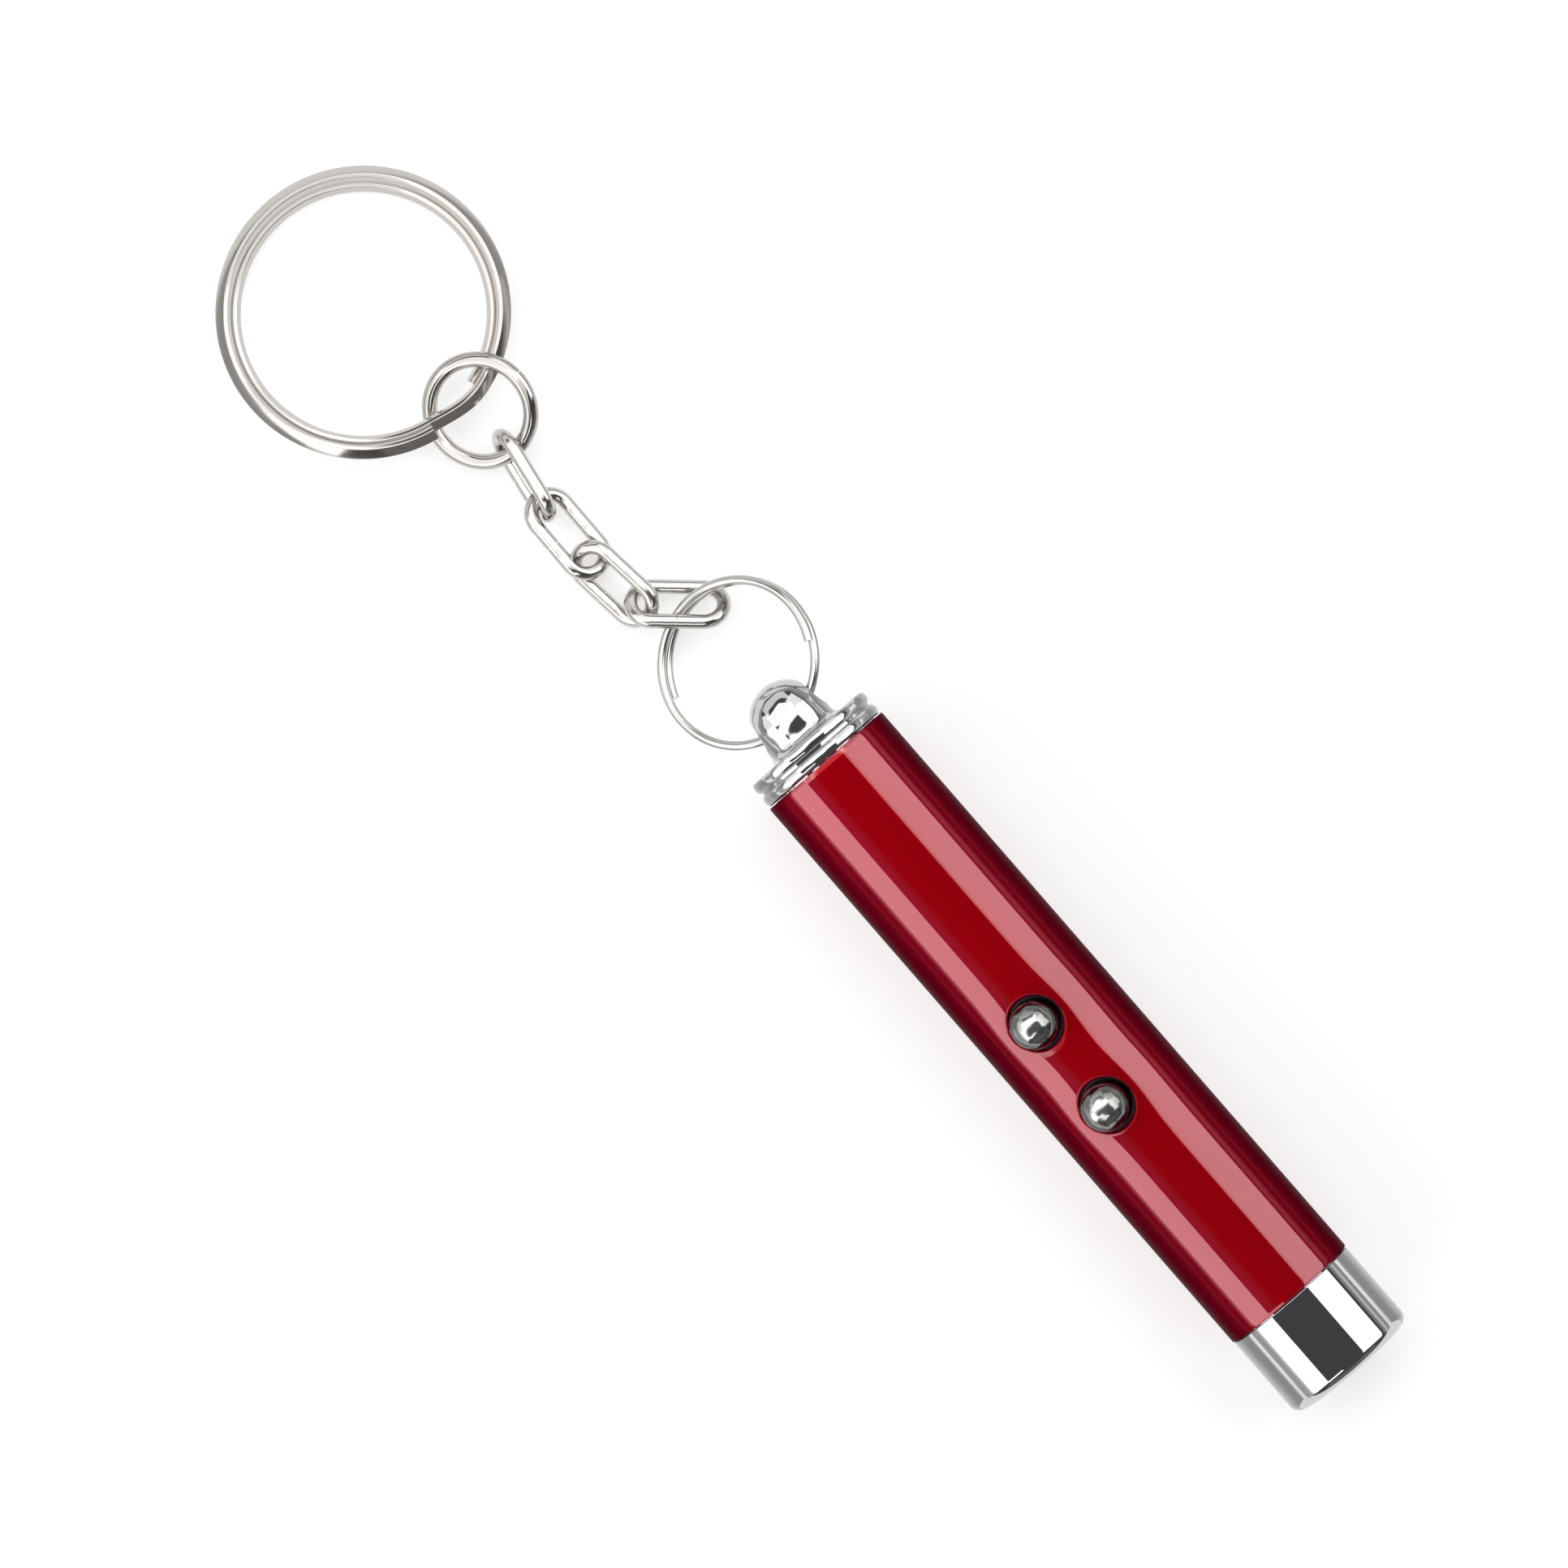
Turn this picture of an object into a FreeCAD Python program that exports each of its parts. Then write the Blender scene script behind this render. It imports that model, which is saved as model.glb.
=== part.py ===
import FreeCAD, Part
import math
import os
import Sketcher

# A pocket laser pointer for playing with a cat: a lacquered tube with two push buttons,
# a chromed nose, a screwed tail cap with an eye, and a key chain on the eye.
# Millimetres. The origin is the middle of the nose's front face, +X runs along the beam and
# +Z points up from the surface that the pointer and its chain lie on.

Vector = FreeCAD.Vector
Rotation = FreeCAD.Rotation
doc = FreeCAD.newDocument("CatLaserPointer")

# Driving dimensions
DIMENSIONS = [
    ("barrel_radius", 7.0),
    ("barrel_bore", 6.2),
    ("barrel_length", 66.6),
    ("barrel_lean", 12.0),
    ("seam", 0.1),
    ("dish_depth", 0.25),
    ("dish_radius", 4.2),
    ("button_hole", 2.62),
    ("lip_round", 0.2),
    ("nose_length", 9.05),
    ("nose_radius", 6.93),
    ("nose_round", 1.1),
    ("nose_face", 1.5),
    ("nose_bore", 5.6),
    ("spigot_radius", 6.1),
    ("spigot_length", 2.2),
    ("lamp_offset", 2.95),
    ("laser_window", 1.6),
    ("led_window", 2.6),
    ("laser_x", -34.15),
    ("light_x", -44.3),
    ("button_radius", 2.3),
    ("button_centre", 7.95),
    ("button_foot", 3.65),
    ("flange_radius", 2.9),
    ("flange_top", 4.4),
    ("flange_thick", 0.6),
    ("foot_radius", 1.1),
    ("guide_bore", 2.38),
    ("press_travel", 0.4),
    ("board_front", -13.2),
    ("board_back", -50.6),
    ("board_width", 9.6),
    ("board_thick", 1.0),
    ("switch_side", 4.5),
    ("switch_top", 2.8),
    ("plunger_radius", 1.0),
    ("plunger_low", 1.75),
    ("plunger_high", 3.6),
    ("carrier_radius", 6.1),
    ("carrier_front", -15.0),
    ("carrier_back", -50.0),
    ("cell_radius", 5.8),
    ("cell_height", 5.4),
    ("cell_gap", 0.05),
    ("cell_front", -52.6),
    ("sleeve_wall", 0.22),
    ("cap_gap", 0.12),
    ("rim_thick", 1.15),
    ("rim_radius", 6.92),
    ("rim_groove", 0.33),
    ("rim_groove_radius", 6.66),
    ("rim_round", 0.2),
    ("plug_radius", 6.12),
    ("plug_length", 4.2),
    ("plug_bore", 4.6),
    ("plug_floor", 1.3),
    ("eye_radius", 3.7),
    ("eye_length", 6.3),
    ("eye_flare", 0.8),
    ("eye_hole", 1.45),
    ("eye_hole_back", 3.0),
    ("eye_lip", 0.25),
    ("contact_wire", 0.6),
    ("link_length", 10.2),
    ("link_width", 5.3),
    ("link_wire", 1.4),
    ("jump_outside", 11.5),
    ("jump_wire", 1.5),
    ("wire_seam", 0.06),
    ("key_outside", 28.2),
    ("key_strip", 1.6),
    ("key_strip_thick", 0.88),
    ("key_lane_step", 0.85),
    ("key_coil_gap", 0.05),
    ("split_outside", 16.7),
    ("split_wire", 0.95),
    ("split_lane_step", 0.75),
    ("split_lane_rise", 0.62),
]

sheet = doc.addObject("Spreadsheet::Sheet", "Dims")
for row, (alias, value) in enumerate(DIMENSIONS, start=1):
    sheet.set(f"A{row}", alias)
    sheet.set(f"B{row}", str(value))
    sheet.setAlias(f"B{row}", alias)
doc.recompute()


class Size:
    """A size with its value and the sheet expression that gives it."""

    def __init__(self, value, text):
        self.value = value
        self.text = text

    def combine(self, sign, other, value):
        other_text = other.text if isinstance(other, Size) else repr(other)
        return Size(value, f"({self.text} {sign} {other_text})")

    def __add__(self, other):
        return self.combine("+", other, self.value + number(other))

    def __sub__(self, other):
        return self.combine("-", other, self.value - number(other))

    def __mul__(self, other):
        return self.combine("*", other, self.value * number(other))

    def __truediv__(self, other):
        return self.combine("/", other, self.value / number(other))

    def __radd__(self, other):
        return Size(other + self.value, f"({other!r} + {self.text})")

    def __rsub__(self, other):
        return Size(other - self.value, f"({other!r} - {self.text})")

    def __neg__(self):
        return Size(-self.value, f"(-{self.text})")


def number(size):
    return size.value if isinstance(size, Size) else float(size)


def dim(alias):
    return Size(float(sheet.get(alias)), f"Dims.{alias}")


def bind(obj, prop, size):
    """Ties one property to the sheet."""
    if isinstance(size, Size):
        obj.setExpression(prop, size.text)
    else:
        setattr(obj, prop, size)


# Where each station lies along the beam axis
nose_back = -dim("nose_length")
barrel_front = nose_back - dim("seam")
barrel_back = barrel_front - dim("barrel_length")
cap_front = barrel_back - dim("cap_gap")
groove_front = cap_front - dim("rim_thick")
groove_back = groove_front - dim("rim_groove")
cap_back = groove_back - dim("rim_thick")
eye_axis = cap_back - dim("eye_hole_back")
button_stations = {"laser": dim("laser_x"), "light": dim("light_x")}

# The barrel lies rolled: everything fixed in it leans by this turn about the beam axis
lean = Rotation(Vector(1, 0, 0), number(dim("barrel_lean")))
made = []


def finish_part(obj, name, place=None):
    """Names a finished sub-part and puts it where it lies."""
    obj.Label = name
    if place is not None:
        obj.Placement = place
    made.append((name, obj))
    return obj


def in_barrel(x=0.0, y=0.0, z=0.0):
    """The placement of a piece that is fixed in the leaning barrel."""
    return FreeCAD.Placement(lean.multVec(Vector(number(x), y, number(z))), lean)


def new_body(name):
    return doc.addObject("PartDesign::Body", name)


def new_sketch(body, role, name, lift=None):
    """A sketch on one of the body's own origin planes, lifted along its normal."""
    plane = [item for item in body.Origin.OriginFeatures if item.Role == role][0]
    sketch = body.newObject("Sketcher::SketchObject", name)
    sketch.AttachmentSupport = (plane, [""])
    sketch.MapMode = "FlatFace"
    if lift is not None:
        sketch.setExpression("AttachmentOffset.Base.z", lift.text)
    return sketch


def locate(sketch, element, end, x, y):
    """Ties one point of a sketch to its distances from the sketch's origin."""
    for kind, axis, size in (("DistanceX", -2, x), ("DistanceY", -1, y)):
        if isinstance(size, Size):
            index = sketch.addConstraint(Sketcher.Constraint(kind, -1, 1, element, end, size.value))
            sketch.setExpression(f"Constraints[{index}]", size.text)
        elif size == 0:
            sketch.addConstraint(Sketcher.Constraint("PointOnObject", element, end, axis))
        else:
            sketch.addConstraint(Sketcher.Constraint(kind, -1, 1, element, end, float(size)))


def arc_geometry(start, end, radius, turn):
    """The arc of a given radius from start to end, turning left (1) or right (-1)."""
    middle = (start + end) * 0.5
    chord = end - start
    height = math.sqrt(max(radius**2 - (chord.Length / 2) ** 2, 0.0))
    side = Vector(-chord.y, chord.x, 0).normalize()
    centre = middle + side * height * turn
    first = math.atan2(start.y - centre.y, start.x - centre.x)
    last = math.atan2(end.y - centre.y, end.x - centre.x)
    if turn < 0:
        first, last = last, first
    return Part.ArcOfCircle(Part.Circle(centre, Vector(0, 0, 1), radius), first, last)


def draw_outline(sketch, corners):
    """A closed outline. A corner is (x, y), or (x, y, radius, turn) where the side that
    leaves it is an arc of less than half a circle."""
    points = [Vector(number(corner[0]), number(corner[1]), 0) for corner in corners]
    count = len(corners)
    ends = []
    for index, corner in enumerate(corners):
        here = points[index]
        there = points[(index + 1) % count]
        if len(corner) == 4:
            sketch.addGeometry(arc_geometry(here, there, number(corner[2]), corner[3]), False)
            ends.append((1, 2) if corner[3] > 0 else (2, 1))
        else:
            sketch.addGeometry(Part.LineSegment(here, there), False)
            ends.append((1, 2))
    for index in range(count):
        following = (index + 1) % count
        sketch.addConstraint(
            Sketcher.Constraint("Coincident", index, ends[index][1], following, ends[following][0]))
    for index, corner in enumerate(corners):
        locate(sketch, index, ends[index][0], corner[0], corner[1])
        if len(corner) == 4:
            radius = sketch.addConstraint(Sketcher.Constraint("Radius", index, number(corner[2])))
            if isinstance(corner[2], Size):
                sketch.setExpression(f"Constraints[{radius}]", corner[2].text)


def draw_circle(sketch, x, y, radius):
    """A circle tied to the sheet by its centre and radius."""
    circle = Part.Circle(Vector(number(x), number(y), 0), Vector(0, 0, 1), number(radius))
    index = sketch.addGeometry(circle, False)
    locate(sketch, index, 3, x, y)
    constraint = sketch.addConstraint(Sketcher.Constraint("Radius", index, number(radius)))
    if isinstance(radius, Size):
        sketch.setExpression(f"Constraints[{constraint}]", radius.text)


def draw_box(sketch, x_low, x_high, y_low, y_high):
    draw_outline(sketch, [(x_low, y_low), (x_high, y_low), (x_high, y_high), (x_low, y_high)])


def turned(body, name, corners, role="XY_Plane", axis="H_Axis"):
    """A profile turned a full circle about one axis of its sketch."""
    sketch = new_sketch(body, role, name + "_profile")
    draw_outline(sketch, corners)
    feature = body.newObject("PartDesign::Revolution", name)
    feature.Profile = sketch
    feature.ReferenceAxis = (sketch, [axis])
    feature.Angle = 360
    doc.recompute()
    return feature


def padded(body, name, sketch, length, reverse=False):
    feature = body.newObject("PartDesign::Pad", name)
    feature.Profile = sketch
    feature.Reversed = reverse
    bind(feature, "Length", length)
    doc.recompute()
    return feature


def pocketed(body, name, sketch, length, reverse=False, both=False):
    """A pocket, checked to have taken something away."""
    before = body.Shape.Volume
    feature = body.newObject("PartDesign::Pocket", name)
    feature.Profile = sketch
    feature.Reversed = reverse
    feature.Midplane = both
    bind(feature, "Length", length)
    doc.recompute()
    if feature.Shape.Volume >= before - 1e-6:
        raise RuntimeError(f"{name} cuts nothing")
    return feature


def rounded(body, name, base, picked, radius):
    """A fillet on the edges whose middle point passes the test."""
    feature = body.newObject("PartDesign::Fillet", name)
    edges = []
    for index, edge in enumerate(base.Shape.Edges, start=1):
        if picked(edge.valueAt((edge.FirstParameter + edge.LastParameter) / 2), edge):
            edges.append(f"Edge{index}")
    feature.Base = (base, edges)
    bind(feature, "Radius", radius)
    doc.recompute()
    return feature


def off_axis(point):
    """Distance from the beam axis."""
    return math.hypot(point.y, point.z)


def near(value, target, slack=0.02):
    return abs(value - number(target)) < slack


# Barrel: a lacquered tube with a finger dish and a lipped hole for each button
def make_barrel():
    along_x = Rotation(Vector(0, 1, 0), -90)

    def rod(name, radius, length, start):
        cylinder = doc.addObject("Part::Cylinder", name)
        bind(cylinder, "Radius", radius)
        bind(cylinder, "Height", length)
        cylinder.Placement = FreeCAD.Placement(Vector(number(start), 0, 0), along_x)
        return cylinder

    def upright(name, radius, station):
        cylinder = doc.addObject("Part::Cylinder", name)
        bind(cylinder, "Radius", radius)
        cylinder.Height = 9.0
        cylinder.Placement = FreeCAD.Placement(Vector(number(station), 0, 0), Rotation())
        return cylinder

    outside = rod("barrel_outside", dim("barrel_radius"), dim("barrel_length"), barrel_front)
    inside = rod("barrel_inside", dim("barrel_bore"), dim("barrel_length"), barrel_front)
    floor = rod("dish_floor", dim("barrel_radius") - dim("dish_depth"), dim("barrel_length"),
                barrel_front)
    cutters = [inside]
    for label, station in button_stations.items():
        disc = upright(f"{label}_dish_disc", dim("dish_radius"), station)
        dish = doc.addObject("Part::Cut", f"{label}_dish")
        dish.Base = disc
        dish.Tool = floor
        cutters.append(dish)
        cutters.append(upright(f"{label}_hole", dim("button_hole"), station))
    waste = doc.addObject("Part::MultiFuse", "barrel_waste")
    waste.Shapes = cutters
    bored = doc.addObject("Part::Cut", "barrel_bored")
    bored.Base = outside
    bored.Tool = waste
    doc.recompute()

    hole = number(dim("button_hole"))
    floor_radius = number(dim("barrel_radius") - dim("dish_depth"))
    picked = []
    for index, edge in enumerate(bored.Shape.Edges, start=1):
        point = edge.valueAt((edge.FirstParameter + edge.LastParameter) / 2)
        for station in button_stations.values():
            from_hole = math.hypot(point.x - number(station), point.y)
            if near(from_hole, hole) and near(off_axis(point), floor_radius):
                picked.append((index, number(dim("lip_round")), number(dim("lip_round"))))
    barrel = doc.addObject("Part::Fillet", "barrel")
    barrel.Base = bored
    barrel.Edges = picked
    finish_part(barrel, "barrel", FreeCAD.Placement(Vector(), lean))


# Nose: a chromed shell with a window for the laser above one for the light
def make_nose():
    body = new_body("nose_shell")
    spigot_end = nose_back - dim("spigot_length")
    base = turned(body, "nose_turned", [
        (0, 0),
        (0, dim("nose_radius")),
        (nose_back, dim("nose_radius")),
        (nose_back, dim("spigot_radius")),
        (spigot_end, dim("spigot_radius")),
        (spigot_end, dim("nose_bore")),
        (-dim("nose_face"), dim("nose_bore")),
        (-dim("nose_face"), 0),
    ])
    edge_round = rounded(body, "nose_edge", base,
                         lambda point, edge: near(point.x, 0) and near(off_axis(point), dim("nose_radius")),
                         dim("nose_round"))
    for name, height, radius in (("laser_window", dim("lamp_offset"), dim("laser_window")),
                                 ("led_window", -dim("lamp_offset"), dim("led_window"))):
        sketch = new_sketch(body, "YZ_Plane", name + "_circle")
        draw_circle(sketch, 0, height, radius)
        edge_round = pocketed(body, name, sketch, dim("nose_face") + 0.5)
    rounded(body, "window_edges", edge_round,
            lambda point, edge: near(point.x, 0) and off_axis(point) < 5.8 and edge.Closed, 0.2)
    finish_part(body, "nose_shell", in_barrel())


# Lamp holder: a black plug in the nose that carries the laser module and the light
def make_lamp_holder():
    body = new_body("lamp_holder")
    sketch = new_sketch(body, "YZ_Plane", "holder_circle", -(dim("nose_face") + 0.05))
    draw_circle(sketch, 0, 0, dim("nose_bore") - 0.1)
    padded(body, "holder_pad", sketch, 6.7, reverse=True)
    for name, height, radius in (("laser_socket", dim("lamp_offset"), 2.62),
                                 ("led_socket", -dim("lamp_offset"), dim("led_window"))):
        sketch = new_sketch(body, "YZ_Plane", name + "_circle")
        draw_circle(sketch, 0, height, radius)
        pocketed(body, name, sketch, 9.0)
    finish_part(body, "lamp_holder", in_barrel())


# Light: a domed lamp with a flange, its tip just inside the nose
def make_led():
    radius = dim("led_window") - 0.1
    body = new_body("led_lamp")
    turned(body, "led_turned", [
        (0, 0),
        (0, 2.62),
        (1.0, 2.62),
        (1.0, radius),
        (5.1, radius, radius, -1),
        (radius + 5.1, 0),
    ])
    finish_part(body, "led_lamp", in_barrel(-9.35, 0, -dim("lamp_offset")))


# Laser module: a brass barrel, a lens, a diode can and its round board
def make_laser_module():
    height = dim("lamp_offset")
    housing = new_body("laser_housing")
    turned(housing, "housing_turned", [
        (0, 1.7), (0, 2.55), (-8.6, 2.55), (-8.6, 2.15), (-0.5, 2.15), (-0.5, 1.7)])
    finish_part(housing, "laser_housing", in_barrel(-1.65, 0, height))

    lens = new_body("laser_lens")
    turned(lens, "lens_turned", [(0, 0), (0, 2.1), (0.9, 2.1, 3.5, -1), (1.6, 0)])
    finish_part(lens, "laser_lens", in_barrel(-3.75, 0, height))

    diode = new_body("laser_diode")
    turned(diode, "diode_turned", [(0, 0), (0, 2.1), (1.2, 2.1), (1.2, 1.65), (3.4, 1.65), (3.4, 0)])
    finish_part(diode, "laser_diode", in_barrel(-10.2, 0, height))

    board = new_body("laser_board")
    sketch = new_sketch(board, "YZ_Plane", "laser_board_circle")
    draw_circle(sketch, 0, 0, 2.5)
    padded(board, "laser_board_pad", sketch, 0.8, reverse=True)
    finish_part(board, "laser_board", in_barrel(-10.25, 0, height))


# Circuit board with its two switches and its small parts
def make_board():
    body = new_body("circuit_board")
    sketch = new_sketch(body, "XY_Plane", "board_outline", -dim("board_thick") / 2)
    half = dim("board_width") / 2
    draw_box(sketch, dim("board_back"), dim("board_front"), -half, half)
    board = padded(body, "board_pad", sketch, dim("board_thick"))
    rounded(body, "board_corners", board,
            lambda point, edge: near(abs(point.y), half) and near(point.z, 0), 0.8)
    finish_part(body, "circuit_board", in_barrel())

    parts = []
    for x, y, length, width, thick in ((-21.0, 2.0, 3.2, 1.6, 0.6), (-24.6, -2.0, 2.0, 1.25, 0.5),
                                       (-27.6, 1.6, 2.0, 1.25, 0.5)):
        box = doc.addObject("Part::Box", f"chip_{len(parts) + 1}")
        box.Length = length
        box.Width = width
        box.Height = thick
        box.Placement = FreeCAD.Placement(Vector(x, y - width / 2, number(dim("board_thick") / 2)), Rotation())
        parts.append(box)
    group = doc.addObject("Part::Compound", "limiting_resistors")
    group.Links = parts
    finish_part(group, "limiting_resistors", FreeCAD.Placement(Vector(), lean))


def make_switch(label, station):
    """A square push switch on the board, and the plunger that its button presses."""
    half = dim("switch_side") / 2
    board_top = dim("board_thick") / 2
    height = dim("switch_top") - board_top
    body = new_body(f"{label}_switch")
    sketch = new_sketch(body, "XY_Plane", f"{label}_switch_square", board_top)
    draw_box(sketch, -half, half, -half, half)
    block = padded(body, f"{label}_switch_block", sketch, height)
    rounded(body, f"{label}_switch_corners", block,
            lambda point, edge: near(abs(point.x), half) and near(abs(point.y), half), 0.5)
    sketch = new_sketch(body, "XY_Plane", f"{label}_switch_circle", dim("switch_top"))
    draw_circle(sketch, 0, 0, dim("plunger_radius") + 0.08)
    pocketed(body, f"{label}_switch_bore", sketch, 1.6)
    finish_part(body, f"{label}_switch", in_barrel(station))

    plunger = doc.addObject("Part::Cylinder", f"{label}_plunger")
    bind(plunger, "Radius", dim("plunger_radius"))
    bind(plunger, "Height", dim("plunger_high") - dim("plunger_low"))
    finish_part(plunger, f"{label}_plunger", in_barrel(station, 0, dim("plunger_low")))


def make_button(label, station):
    """A chromed dome on a stem, with a flange that keeps it under the carrier."""
    body = new_body(f"{label}_button")
    flange_low = dim("flange_top") - dim("flange_thick")
    dome = dim("button_radius")
    profile = [
        (0, dim("button_foot")),
        (dim("foot_radius"), dim("button_foot")),
        (dim("foot_radius"), flange_low),
        (dim("flange_radius"), flange_low),
        (dim("flange_radius"), dim("flange_top")),
        (dome, dim("flange_top")),
        (dome, dim("button_centre"), dome, 1),
        (0, dim("button_centre") + dome),
    ]
    turned(body, f"{label}_button_turned", profile, "XZ_Plane", "V_Axis")
    finish_part(body, f"{label}_button", in_barrel(station))


# Carrier: two black half rounds that clamp the board; the upper one guides the buttons
def make_carriers():
    length = dim("carrier_front") - dim("carrier_back")
    radius = dim("carrier_radius")
    edge = 0.6
    reach = math.sqrt(number(radius) ** 2 - edge**2)
    top = new_body("carrier_top")
    sketch = new_sketch(top, "YZ_Plane", "carrier_top_half", dim("carrier_front"))
    draw_outline(sketch, [(-reach, edge), (reach, edge, radius, 1), (0, radius, radius, 1)])
    padded(top, "carrier_top_pad", sketch, length, reverse=True)
    sketch = new_sketch(top, "XY_Plane", "carrier_top_well")
    draw_box(sketch, dim("light_x") - 3.3, dim("laser_x") + 3.3, -3.3, 3.3)
    pocketed(top, "carrier_top_room", sketch, dim("flange_top") + 0.1, reverse=True)
    sketch = new_sketch(top, "XY_Plane", "carrier_top_front_well")
    draw_box(sketch, -29.5, -17.2, -3.6, 3.6)
    pocketed(top, "carrier_top_chip_room", sketch, 2.2, reverse=True)
    sketch = new_sketch(top, "XY_Plane", "guide_circles")
    for station in button_stations.values():
        draw_circle(sketch, station, 0, dim("guide_bore"))
    pocketed(top, "guide_bores", sketch, 9.0, reverse=True)
    finish_part(top, "carrier_top", in_barrel())

    bottom = new_body("carrier_bottom")
    sketch = new_sketch(bottom, "YZ_Plane", "carrier_bottom_half", dim("carrier_front"))
    draw_outline(sketch, [(reach, -edge), (-reach, -edge, radius, 1), (0, -radius, radius, 1)])
    padded(bottom, "carrier_bottom_pad", sketch, length, reverse=True)
    sketch = new_sketch(bottom, "XY_Plane", "carrier_bottom_well")
    draw_box(sketch, dim("carrier_back") + 1.5, dim("carrier_front") - 1.5, -3.8, 3.8)
    pocketed(bottom, "carrier_bottom_room", sketch, 4.2)
    finish_part(bottom, "carrier_bottom", in_barrel())


# Battery: three button cells in a paper sleeve, with a contact cup in front of them
def make_battery():
    cup = new_body("front_contact")
    turned(cup, "cup_turned", [(0, 0), (-1.5, 4.6), (-1.8, 4.6), (-0.45, 0)])
    finish_part(cup, "front_contact", in_barrel(dim("board_back") - 0.1))

    radius = dim("cell_radius")
    height = dim("cell_height")
    for index in range(3):
        cell = new_body(f"battery_cell_{index + 1}")
        turned(cell, f"cell_{index + 1}_turned", [
            (0, 0),
            (0, radius - 0.3),
            (-0.3, radius),
            (0.35 - height, radius),
            (0.15 - height, radius - 0.35),
            (0.15 - height, radius - 1.0),
            (-height, radius - 1.25),
            (-height, 0),
        ])
        start = dim("cell_front") - (height + dim("cell_gap")) * index
        finish_part(cell, f"battery_cell_{index + 1}", in_barrel(start))

    sleeve = new_body("battery_sleeve")
    inner = radius + 0.05
    turned(sleeve, "sleeve_turned", [
        (dim("cell_front") + 0.4, inner),
        (dim("cell_front") + 0.4, inner + dim("sleeve_wall")),
        (dim("cell_front") - 17.4, inner + dim("sleeve_wall")),
        (dim("cell_front") - 17.4, inner),
    ])
    finish_part(sleeve, "battery_sleeve", in_barrel())


# Tail cap: a plug that screws into the barrel, two rims and a ball-ended eye
def make_tail_cap():
    body = new_body("tail_cap")
    plug_end = cap_front + dim("cap_gap") + dim("plug_length")
    ball = dim("eye_radius")
    dome_centre = cap_back - dim("eye_length") + ball
    base = turned(body, "cap_turned", [
        (plug_end, dim("plug_bore")),
        (plug_end, dim("plug_radius")),
        (cap_front, dim("plug_radius")),
        (cap_front, dim("rim_radius")),
        (groove_front, dim("rim_radius")),
        (groove_front, dim("rim_groove_radius")),
        (groove_back, dim("rim_groove_radius")),
        (groove_back, dim("rim_radius")),
        (cap_back, dim("rim_radius")),
        (cap_back, ball),
        (dome_centre, ball, ball, 1),
        (dome_centre - ball, 0),
        (cap_front + dim("plug_floor"), 0),
        (cap_front + dim("plug_floor"), dim("plug_bore")),
    ])
    flare = rounded(body, "eye_flare", base,
                    lambda point, edge: near(point.x, cap_back) and near(off_axis(point), ball),
                    dim("eye_flare"))
    rim_xs = (cap_front, groove_front, groove_back, cap_back)
    rims = rounded(body, "rim_rounds", flare,
                   lambda point, edge: near(off_axis(point), dim("rim_radius"))
                   and any(near(point.x, x) for x in rim_xs), dim("rim_round"))
    sketch = new_sketch(body, "XZ_Plane", "eye_circle")
    draw_circle(sketch, eye_axis, 0, dim("eye_hole"))
    hole = pocketed(body, "eye_hole", sketch, 12.0, both=True)
    rounded(body, "eye_lips", hole,
            lambda point, edge: near(math.hypot(point.x - number(eye_axis), point.z), dim("eye_hole"), 0.01)
            and abs(point.y) > 2.9, dim("eye_lip"))
    finish_part(body, "tail_cap")


def biarc(start, start_way, end, end_way):
    """Two tangent arcs from start to end that leave and arrive along the given ways."""
    across = end - start
    ways = start_way + end_way
    lead = across.dot(ways)
    bend = 2.0 * (start_way.dot(end_way) - 1.0)
    if abs(bend) < 1e-9:
        reach = across.dot(across) / (2.0 * lead)
    else:
        reach = (lead - math.sqrt(lead**2 - bend * across.dot(across))) / bend
    joint = (start + start_way * reach + end - end_way * reach) * 0.5
    joint_way = (end - end_way * reach) - (start + start_way * reach)
    joint_way.normalize()
    return [arc_between(start, start_way, joint), arc_between(joint, joint_way, end)]


def arc_between(start, way, end):
    chord = end - start
    along = Vector(chord).normalize()
    middle_way = (way + along).normalize()
    middle = start + middle_way * (chord.Length / 2 / middle_way.dot(along))
    return Part.Arc(start, middle, end).toShape()


def coil_path(place_at, turns):
    """Biarcs through the coil's stations. place_at gives the point at a wire angle in degrees."""
    small = 0.01
    edges = []
    for first, last in zip(turns[:-1], turns[1:]):
        points = [place_at(first), place_at(last)]
        ways = [(place_at(angle + small) - place_at(angle - small)).normalize() for angle in (first, last)]
        edges += biarc(points[0], ways[0], points[1], ways[1])
    return Part.Wire(edges)


def eased(value):
    """0 to 1 with no slope at either end."""
    value = min(max(value, 0.0), 1.0)
    return value * value * (3.0 - 2.0 * value)


def strip_section(centre, outward, up, width, thick, corner):
    """A flat strip's rounded section, standing in the plane of outward and up."""
    corners = []
    for right, high in ((1, -1), (1, 1), (-1, 1), (-1, -1)):
        corners.append(centre + outward * (right * width / 2) + up * (high * thick / 2))
    edges = []
    for index, corner_point in enumerate(corners):
        following = corners[(index + 1) % 4]
        before = corners[index - 1]
        to_next = (following - corner_point).normalize()
        to_last = (before - corner_point).normalize()
        first = corner_point + to_last * corner
        last = corner_point + to_next * corner
        middle = corner_point + (to_last + to_next) * corner * (1.0 - math.sqrt(0.5))
        edges.append(Part.Arc(first, middle, last).toShape())
        edges.append(Part.LineSegment(last, following - to_next * corner).toShape())
    return Part.Wire(edges)


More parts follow.
